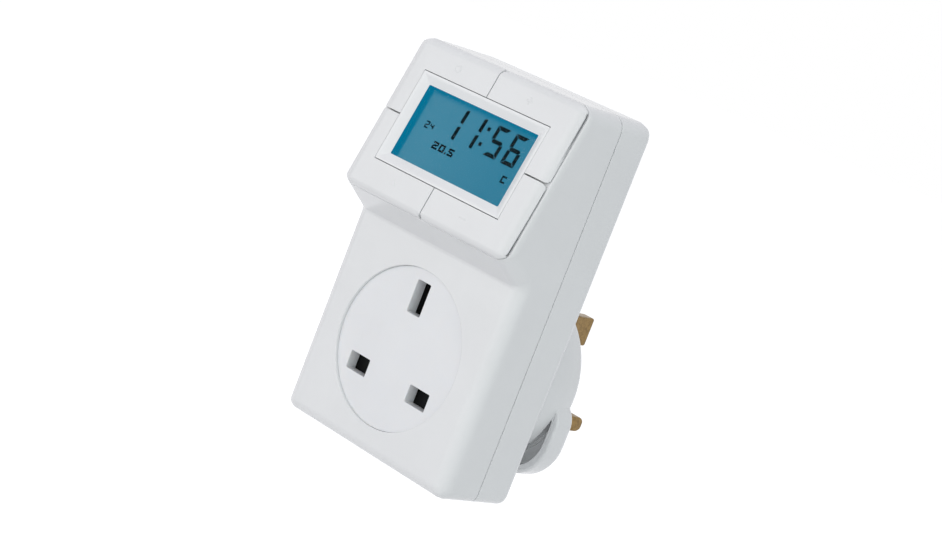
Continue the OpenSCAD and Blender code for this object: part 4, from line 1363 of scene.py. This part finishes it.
        # Each section as how far it lies in from the outside, and its height
        profile = [(0.0, -s.deck_n), (0.0, 0.0), *brim, foot, (slope_u, -self.frame_low)]
        sections = [(w - inset, h - inset * slope_s / slope_u, n) for inset, n in profile]
        pane_w, pane_h = w - slope_u + self.pane_ledge, h - slope_s + self.pane_ledge
        spigot_w, spigot_h = w - self.spigot_in, h - self.spigot_in
        sections += [(pane_w, pane_h, -self.frame_low), (pane_w, pane_h, -s.deck_low),
                     (spigot_w, spigot_h, -s.deck_low), (spigot_w, spigot_h, -s.deck_n)]
        corner = self.bezel_corner
        rings = [[s.head @ Vector((x, y, n)) for x, y in rounded_rectangle(hw, hh, corner, steps=3)]
                 for hw, hh, n in sections]
        solid = Solid.lofted(rings, closed=True).softened(self.edge)
        bezel = solid.piece("bezel_frame", self.bezel_plastic, "case", "bezel_plastic", ["display_bezel"])
        # The walls below the slopes take the display's material: painted glow and painted frame shadow on plain
        # plastic
        bezel.data.materials.append(self.glow)
        back = s.head.inverted()
        for face in bezel.data.polygons:
            spot = back @ in_mm(face.center)
            inside = abs(spot.x) < pane_w + self.pane_play and abs(spot.y) < pane_h + self.pane_play
            face.material_index = int(inside and spot.z < -self.bezel_fall - self.painted_glow_below)
        return bezel


@dataclass(frozen=True)
class SegmentRow:
    """Characters of the display, each with its left edge, and the sizes that they share."""

    signs: tuple[tuple[str, float], ...]
    base: float
    width: float
    height: float
    stroke: float
    gap: float = 0.0


@dataclass
class DisplayGlyphs:
    """Dark segments on the display: plain numbers and a unit sign."""

    SEGMENTS = {"0": "abcdef", "1": "bc", "2": "abged", "4": "fgbc", "5": "afgcd", "6": "afgcde", "C": "afed",
                ".": ""}

    sizes: CaseSizes
    ink: bpy.types.Material
    depth: float = 4.1
    thickness: float = 0.04
    slant: float = 0.035
    slant_base: float = 0.2
    blunt: float = 0.3
    notch: float = 0.8
    colon_u: float = 2.2
    colon_s: tuple[float, float] = (6.4, 2.2)
    colon_half: float = 0.5
    rows: tuple[SegmentRow, ...] = (
        SegmentRow((("1", -10.35), ("1", -3.9), ("5", 4.4), ("6", 10.65)), 0.2, 4.4, 8.2, 1.08, gap=0.1),
        SegmentRow((("2", -16.7), ("4", -15.0)), 0.0, 1.3, 1.9, 0.34),
        SegmentRow((("2", -11.0), ("0", -8.6), (".", -6.35), ("5", -5.4)), -3.9, 1.85, 2.0, 0.5),
        SegmentRow((("C", 13.7),), -4.1, 1.5, 1.9, 0.46),
    )

    def character(self, row: SegmentRow, sign: str, left: float) -> list[Outline]:
        """Outlines of one character's segments, mitred where the row has a gap and plain strokes otherwise.

        Args:
            row: Its row.
            sign: The character.
            left: Its left edge.

        Returns:
            One outline a segment.
        """
        w, h, bar, gap = row.width, row.height, row.stroke, row.gap
        mid, half = h / 2, bar / 2
        if sign == ".":
            return [box_outline(left, left + bar, row.base, row.base + bar)]
        if gap:
            blunt, notch = self.blunt * bar, self.notch * bar
            end = [(0.0, h - gap), (bar, h - bar - gap)]
            if sign == "1":
                end = [(0.0, h), (bar - blunt, h), (bar, h - blunt)]
            level = [(gap, h), (w - gap, h), (w - bar - gap, h - bar), (bar + gap, h - bar)]
            upright = [*end, (bar, mid + half + gap), (0.0, mid + blunt)]
            middle = [(blunt, mid), (notch, mid + half), (w - notch, mid + half),
                      (w - blunt, mid), (w - notch, mid - half), (notch, mid - half)]
        else:
            level = box_outline(0.0, w, h - bar, h)
            upright = box_outline(0.0, bar, mid, h - bar)
            middle = box_outline(bar, w - bar, mid - half, mid + half)
        # Each segment as its shape, and whether it is mirrored across and over
        turned = {"a": (level, False, False), "d": (level, False, True), "f": (upright, False, False),
                  "b": (upright, True, False), "e": (upright, False, True), "c": (upright, True, True),
                  "g": (middle, False, False)}
        made = []
        for name in self.SEGMENTS[sign]:
            shape, across, over = turned[name]
            made.append([(left + (w - x if across else x), row.base + (h - y if over else y))
                         for x, y in shape])
        return made

    def sheared(self, outline: Outline) -> Outline:
        """Returns an outline leaning to the right."""
        return [(u + self.slant * (s - self.slant_base), s) for u, s in outline]

    def build(self) -> bpy.types.Object:
        """Makes all segments as one piece.

        Returns:
            The piece.
        """
        u, half = self.colon_u, self.colon_half
        outlines = [box_outline(u - half, u + half, s - half, s + half) for s in self.colon_s]
        for row in self.rows:
            for sign, left in row.signs:
                outlines += self.character(row, sign, left)
        mesh = bmesh.new()
        for outline in outlines:
            part = Solid.extruded(self.sheared(outline), -self.depth, self.thickness - self.depth,
                                  self.sizes.head)
            data = bpy.data.meshes.new("segment")
            part.mesh.to_mesh(data)
            part.mesh.free()
            mesh.from_mesh(data)
            bpy.data.meshes.remove(data)
        return Solid(mesh).piece("display_segments", self.ink, "case", "display_glass")


@dataclass
class PlugPins:
    """The three plug pins with their rounded tips, each with its shoulder and its tail inside the boss."""

    sizes: CaseSizes
    brass: bpy.types.Material
    thin: float = 3.975
    wide: float = 6.35
    tall: float = 7.925
    shoulder_t: float = 3.2
    sleeve_end: float = 9.3
    sleeve_t: float = 0.72
    tail_w: float = 4.8
    tail_t: float = 1.2
    overlap: float = 0.5
    corner_r: float = 0.4
    corner_share: float = 0.9
    ln_tip: tuple[float, float] = (0.5, 1.95)
    earth_tip: tuple[float, float] = (1.2, 1.2)
    tip_steps: int = 8

    def shaft(self, w: float, h: float, start: float, end: float, tip: tuple[float, float],
              place: Matrix) -> Solid:
        """A bar that ends in a rounded tip.

        Args:
            w: Width of the section.
            h: Height of the section.
            start: Where the bar begins, along Y.
            end: Where its tip ends.
            tip: Radius of the tip across the width and across the height.
            place: The frame of the bar's axis.

        Returns:
            The solid.
        """
        turns = [math.pi / 2 * i / self.tip_steps for i in range(self.tip_steps + 1)]
        levels = [end - max(tip) * (1 - math.sin(a)) for a in turns]
        rings = []
        for y in (start, *levels):
            over = [max(0.0, y - end + r) for r in tip]
            inset = [r - math.sqrt(r * r - d * d) for r, d in zip(tip, over)]
            half_w, half_h = w / 2 - inset[0], h / 2 - inset[1]
            corner = min(self.corner_r, self.corner_share * half_w, self.corner_share * half_h)
            rings.append([place @ Vector((u, v, y)) for u, v in rounded_rectangle(half_w, half_h, corner)])
        return Solid.lofted(rings)

    def pin(self, node: str, w: float, h: float, tip: tuple[float, float], sleeve: float,
            tail: Outline) -> None:
        """Makes one pin.

        Args:
            node: The node that the pin stands for.
            w: Width of its section.
            h: Height of its section.
            tip: Radius of the tip across the width and across the height.
            sleeve: Thickness of the sleeve let into it, 0 for none.
            tail: Outline of its tail.
        """
        low, high = map(in_mm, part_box(node))
        middle = (low + high) / 2
        place = self.sizes.across_y(middle.x, middle.z)
        inner_y = -self.sizes.plug_face_t
        shoulder_y = inner_y - self.shoulder_t
        shoulder = box_outline(low.x - middle.x, high.x - middle.x, low.z - middle.z, high.z - middle.z)
        blade = self.shaft(w, h, self.sleeve_end if sleeve else inner_y - self.overlap, high.y, tip, place)
        if sleeve:
            core = rounded_rectangle(w / 2 - sleeve, h / 2 - sleeve, self.corner_r)
            blade.plus(Solid.extruded(core, inner_y - self.overlap, self.sleeve_end + self.overlap, place))
        blade.plus(Solid.extruded(tail, low.y, shoulder_y + self.overlap, place),
                   Solid.extruded(shoulder, shoulder_y, inner_y, place))
        blade.piece(f"{node}_blade", self.brass, "case", "pin_brass", [node])

    def build(self) -> None:
        """Makes the three pins."""
        half = self.tail_w / 2
        flat = box_outline(-half, half, 0.0, self.tail_t)
        upright = box_outline(-self.tail_t, 0.0, -half, half)
        for node in ("live_pin", "neutral_pin"):
            self.pin(node, self.wide, self.thin, self.ln_tip, self.sleeve_t, flat)
        self.pin("earth_pin", self.thin, self.tall, self.earth_tip, 0.0, upright)


@dataclass
class Works:
    """The nodes that keep their own shape: sleeves, screws, shutter, contacts, window and electronics."""

    # Widths of the roundings in millimetres
    SOFT_EDGES = {"pin_sleeves": 0.12, "shutter": 0.2, "case_screws": 0.2, "relay": 0.4,
                  "mains_capacitor": 0.4, "controller_chip": 0.2, "smoothing_capacitor": 0.4,
                  "backup_cell": 0.25, "display_window": 0.08}
    # Distance in metres up to which corners are one, and angle in degrees up to which faces are one
    SAME_CORNER = 1e-6
    SAME_FACE = 1.0

    finishes: dict[str, bpy.types.Material]

    def soften(self, name: str, width: float) -> None:
        """Rounds the sharp edges of a node, by modifiers alone.

        Args:
            name: The node.
            width: Width of the rounding in millimetres.
        """
        steps = frame["nodes"][name].modifiers
        steps.new("weld", "WELD").merge_threshold = self.SAME_CORNER
        plain = steps.new("plain_faces", "DECIMATE")
        plain.decimate_type = "DISSOLVE"
        plain.angle_limit = math.radians(self.SAME_FACE)
        edge = steps.new("soft_edges", "BEVEL")
        edge.width = width * MM
        edge.segments = 2
        edge.limit_method = "ANGLE"
        edge.angle_limit = math.radians(SHARP)
        edge.use_clamp_overlap = True
        steps.new("level_normals", "WEIGHTED_NORMAL").weight = FACE_WEIGHT

    def dress(self) -> None:
        """Gives every node its material, by the record's slots, and softens the edges that show."""
        for part in frame["record"]["subparts"]:
            node, slot = part["node"], part["material_slot"]
            data = frame["nodes"][node].data
            data.materials.clear()
            data.materials.append(self.finishes[slot])
            log.info("%s: %s", node, self.finishes[slot].name)
        for node, width in self.SOFT_EDGES.items():
            self.soften(node, width)


@dataclass(frozen=True)
class PanelLamp:
    """A soft round panel that faces the object.

    Its azimuth counts in degrees from the front to the right, its elevation in degrees up from the object,
    its size and distance in metres and its power in watts.
    """

    name: str
    azimuth: float
    elevation: float
    size: float
    power: float
    colour: tuple[float, float, float]
    distance: float = 1.3

    def build(self, target: Vector) -> None:
        """Puts up the lamp.

        Args:
            target: The place that it faces.
        """
        data = bpy.data.lights.new(self.name, "AREA")
        data.shape = "DISK"
        data.size = self.size
        data.energy = self.power
        data.color = self.colour
        a, e = math.radians(self.azimuth), math.radians(self.elevation)
        way = Vector((math.sin(a) * math.cos(e), -math.cos(a) * math.cos(e), math.sin(e)))
        lamp = bpy.data.objects.new(self.name, data)
        lamp.location = target + way * self.distance
        lamp.rotation_euler = (-way).to_track_quat("-Z", "Y").to_euler()
        bpy.context.scene.collection.objects.link(lamp)


@dataclass
class Studio:
    """Camera, light and floor."""

    camera_place: Vector = field(default_factory=lambda: Vector((369.74, -468.86, 113.0)) * MM)
    camera_turn: tuple[float, float, float] = (81.366, -21.085, 43.310)
    lens: float = 88.064
    sensor_w: float = 36.0
    near: float = 0.01
    far: float = 50.0
    target: Vector = field(default_factory=lambda: Vector((0, -33, 31)) * MM)
    ambient: Colour = (0.93, 0.94, 1.0, 1.0)
    ambient_strength: float = 0.5
    lamps: tuple[PanelLamp, ...] = (
        PanelLamp("key", -14, 8, 1.8, 8.1, (1.0, 0.98, 0.95)),
        PanelLamp("side", 66, 8, 1.8, 5.9, (0.89, 1.0, 0.92)),
        PanelLamp("top", 0, 80, 1.2, 2.4, (0.97, 0.92, 1.0)),
    )
    floor_drop: float = 0.16
    floor_half: float = 6.0
    paper: Colour = (0.82, 0.82, 0.82, 1.0)
    paper_lift: float = 0.65

    def camera(self) -> None:
        """Puts up the camera at the photograph's viewing angle."""
        data = bpy.data.cameras.new("camera")
        data.sensor_width = self.sensor_w
        data.sensor_fit = "HORIZONTAL"
        data.lens = self.lens
        data.clip_start = self.near
        data.clip_end = self.far
        camera = bpy.data.objects.new("camera", data)
        camera.location = self.camera_place
        camera.rotation_euler = [math.radians(a) for a in self.camera_turn]
        bpy.context.scene.collection.objects.link(camera)
        bpy.context.scene.camera = camera

    @staticmethod
    def seen(sheet: NodeSheet) -> bpy.types.NodeSocket:
        """Adds a mask of what the eye meets straight, in gloss or through glass.

        Args:
            sheet: The sheet to add it to.

        Returns:
            The mask.
        """
        path = sheet.add("ShaderNodeLightPath")
        bent = sheet.math("MAXIMUM", path.outputs["Is Glossy Ray"], path.outputs["Is Transmission Ray"])
        return sheet.math("MAXIMUM", path.outputs["Is Camera Ray"], bent)

    def world(self) -> None:
        """Makes the surroundings: white where they are seen, and a soft fill otherwise."""
        world = bpy.data.worlds.new("studio")
        bpy.context.scene.world = world
        world.use_nodes = True
        sheet = NodeSheet(world.node_tree)
        fill = sheet.add("ShaderNodeBackground", Color=self.ambient, Strength=self.ambient_strength)
        white = sheet.add("ShaderNodeBackground", Color=WHITE, Strength=1.0)
        mix = sheet.add("ShaderNodeMixShader")
        output = sheet.add("ShaderNodeOutputWorld")
        sheet.link(self.seen(sheet), mix.inputs["Fac"])
        for part, socket in zip((fill, white), mix.inputs[1:]):
            sheet.link(part.outputs["Background"], socket)
        sheet.link(mix.outputs["Shader"], output.inputs["Surface"])

    def floor(self) -> None:
        """Lays a pale floor below the object, which looks white and keeps a shadow."""
        mesh = bmesh.new()
        bmesh.ops.create_grid(mesh, x_segments=1, y_segments=1, size=self.floor_half)
        data = bpy.data.meshes.new("floor")
        mesh.to_mesh(data)
        mesh.free()
        floor = bpy.data.objects.new("floor", data)
        floor.location.z = CAD_BOX[0][2] - self.floor_drop
        bpy.context.scene.collection.objects.link(floor)
        material = bpy.data.materials.new("floor_paper")
        material.use_nodes = True
        sheet = NodeSheet(material.node_tree)
        paper = sheet.add("ShaderNodeBsdfDiffuse", Color=self.paper)
        lift = sheet.add("ShaderNodeEmission", Color=WHITE)
        sheet.link(sheet.math("MULTIPLY", self.seen(sheet), self.paper_lift), lift.inputs["Strength"])
        both = sheet.add("ShaderNodeAddShader")
        output = sheet.add("ShaderNodeOutputMaterial")
        for shader, socket in zip((paper, lift), both.inputs):
            sheet.link(shader.outputs[0], socket)
        sheet.link(both.outputs["Shader"], output.inputs["Surface"])
        data.materials.append(material)

    def build(self) -> None:
        """Puts up everything."""
        self.camera()
        self.world()
        for lamp in self.lamps:
            lamp.build(self.target)
        self.floor()
        bpy.context.scene.view_settings.view_transform = "Standard"


def make_finishes(sizes: CaseSizes) -> dict[str, bpy.types.Material]:
    """Builds every material.

    Args:
        sizes: Sizes of the housing, which place the display's shaded edges.

    Returns:
        The materials by the record's slot names, with the display's ink under display_ink.
    """
    lift = sizes.head.to_3x3() @ Vector((0, 1, 0))
    finishes = {
        "shell_plastic": MouldedPlastic("pale_shell", srgb(232, 233, 234)),
        "disc_plastic": MouldedPlastic("pale_disc", srgb(234, 235, 237), softness=0.3),
        "button_plastic": MouldedPlastic("pale_cap", srgb(229, 230, 231)),
        "bezel_plastic": MouldedPlastic("pale_bezel", srgb(236, 237, 238), roughness=0.28),
        "block_plastic": MouldedPlastic("dark_insulation", srgb(60, 60, 62), roughness=0.5),
        "shutter_plastic": MouldedPlastic("black_shutter", srgb(16, 17, 18), roughness=0.5, shine=0.1),
        "sleeve_plastic": MouldedPlastic("black_sleeve", srgb(26, 26, 27), roughness=0.45),
        "switch_plastic": MouldedPlastic("switch_case", srgb(40, 40, 42), roughness=0.5),
        "plunger_plastic": MouldedPlastic("ivory_plunger", srgb(228, 220, 196)),
        "pin_brass": DrawnMetal("pin_brass", srgb(144, 119, 78), srgb(112, 92, 62), roughness=0.34,
                                patches=900.0),
        "contact_brass": DrawnMetal("contact_brass", srgb(196, 150, 96), srgb(132, 92, 58), roughness=0.38),
        "spring_steel": DrawnMetal("spring_steel", srgb(196, 197, 199), srgb(150, 150, 152)),
        "screw_steel": DrawnMetal("plated_screw", srgb(188, 189, 190), srgb(132, 132, 130)),
        "clear_window": ClearPlastic("clear_window", WHITE),
        # The display's first colour holds painted lamp light; its last colour is the painted shadow of the frame
        "display_glass": LitDisplay("lit_display", srgb(64, 131, 157), srgb(46, 121, 149), srgb(4, 112, 146),
                                    lift=lift, centre=sizes.head.translation),
        "guide_plastic": MouldedPlastic("light_guide", srgb(220, 236, 240)),
        "strip_rubber": MouldedPlastic("contact_rubber", srgb(206, 168, 168), roughness=0.7),
        "circuit_board": CircuitBoard("solder_resist", srgb(34, 96, 58), srgb(52, 124, 74)),
        "chip_plastic": MouldedPlastic("chip_case", srgb(34, 34, 36), roughness=0.6),
        "cell_steel": DrawnMetal("cell_can", srgb(206, 207, 208), srgb(170, 171, 172)),
        "relay_plastic": MouldedPlastic("relay_case", srgb(38, 68, 140), roughness=0.3),
        "capacitor_plastic": MouldedPlastic("capacitor_case", srgb(222, 190, 62), roughness=0.35),
        "can_aluminium": DrawnMetal("can_sleeve", srgb(70, 72, 96), srgb(50, 52, 72), roughness=0.4),
        "varistor_lacquer": MouldedPlastic("dipped_lacquer", srgb(58, 98, 150), roughness=0.25),
        "live_insulation": MouldedPlastic("brown_insulation", srgb(112, 68, 36), roughness=0.45),
        "neutral_insulation": MouldedPlastic("blue_insulation", srgb(46, 82, 160), roughness=0.45),
        "ribbon_insulation": MouldedPlastic("grey_ribbon", srgb(176, 176, 180), roughness=0.5),
        "header_plastic": MouldedPlastic("natural_header", srgb(228, 226, 214), roughness=0.45),
        "bead_epoxy": MouldedPlastic("epoxy_bead", srgb(30, 30, 32)),
        "display_ink": MouldedPlastic("segment_ink", srgb(6, 24, 30), roughness=0.6, shine=0.03),
    }
    return {slot: finish.build() for slot, finish in finishes.items()}


def main() -> None:
    """Builds the studio and every piece of the object in order."""
    logging.basicConfig(level=logging.INFO, format="%(name)s: %(message)s")
    Studio().build()
    sizes = CaseSizes.from_frame()
    finishes = make_finishes(sizes)
    Works(finishes).dress()
    housing = Housing(sizes, finishes["shell_plastic"])
    socket = SocketFace(sizes, finishes["disc_plastic"])
    housing.front_shell(socket.radius, socket.centre_z)
    housing.rear_cover()
    socket.disc()
    head = ButtonHead(sizes, finishes["button_plastic"], finishes["bezel_plastic"], finishes["display_glass"])
    head.caps(housing.block())
    head.marks()
    head.bezel()
    DisplayGlyphs(sizes, finishes["display_ink"]).build()
    PlugPins(sizes, finishes["pin_brass"]).build()


if __name__ == "__main__":
    main()
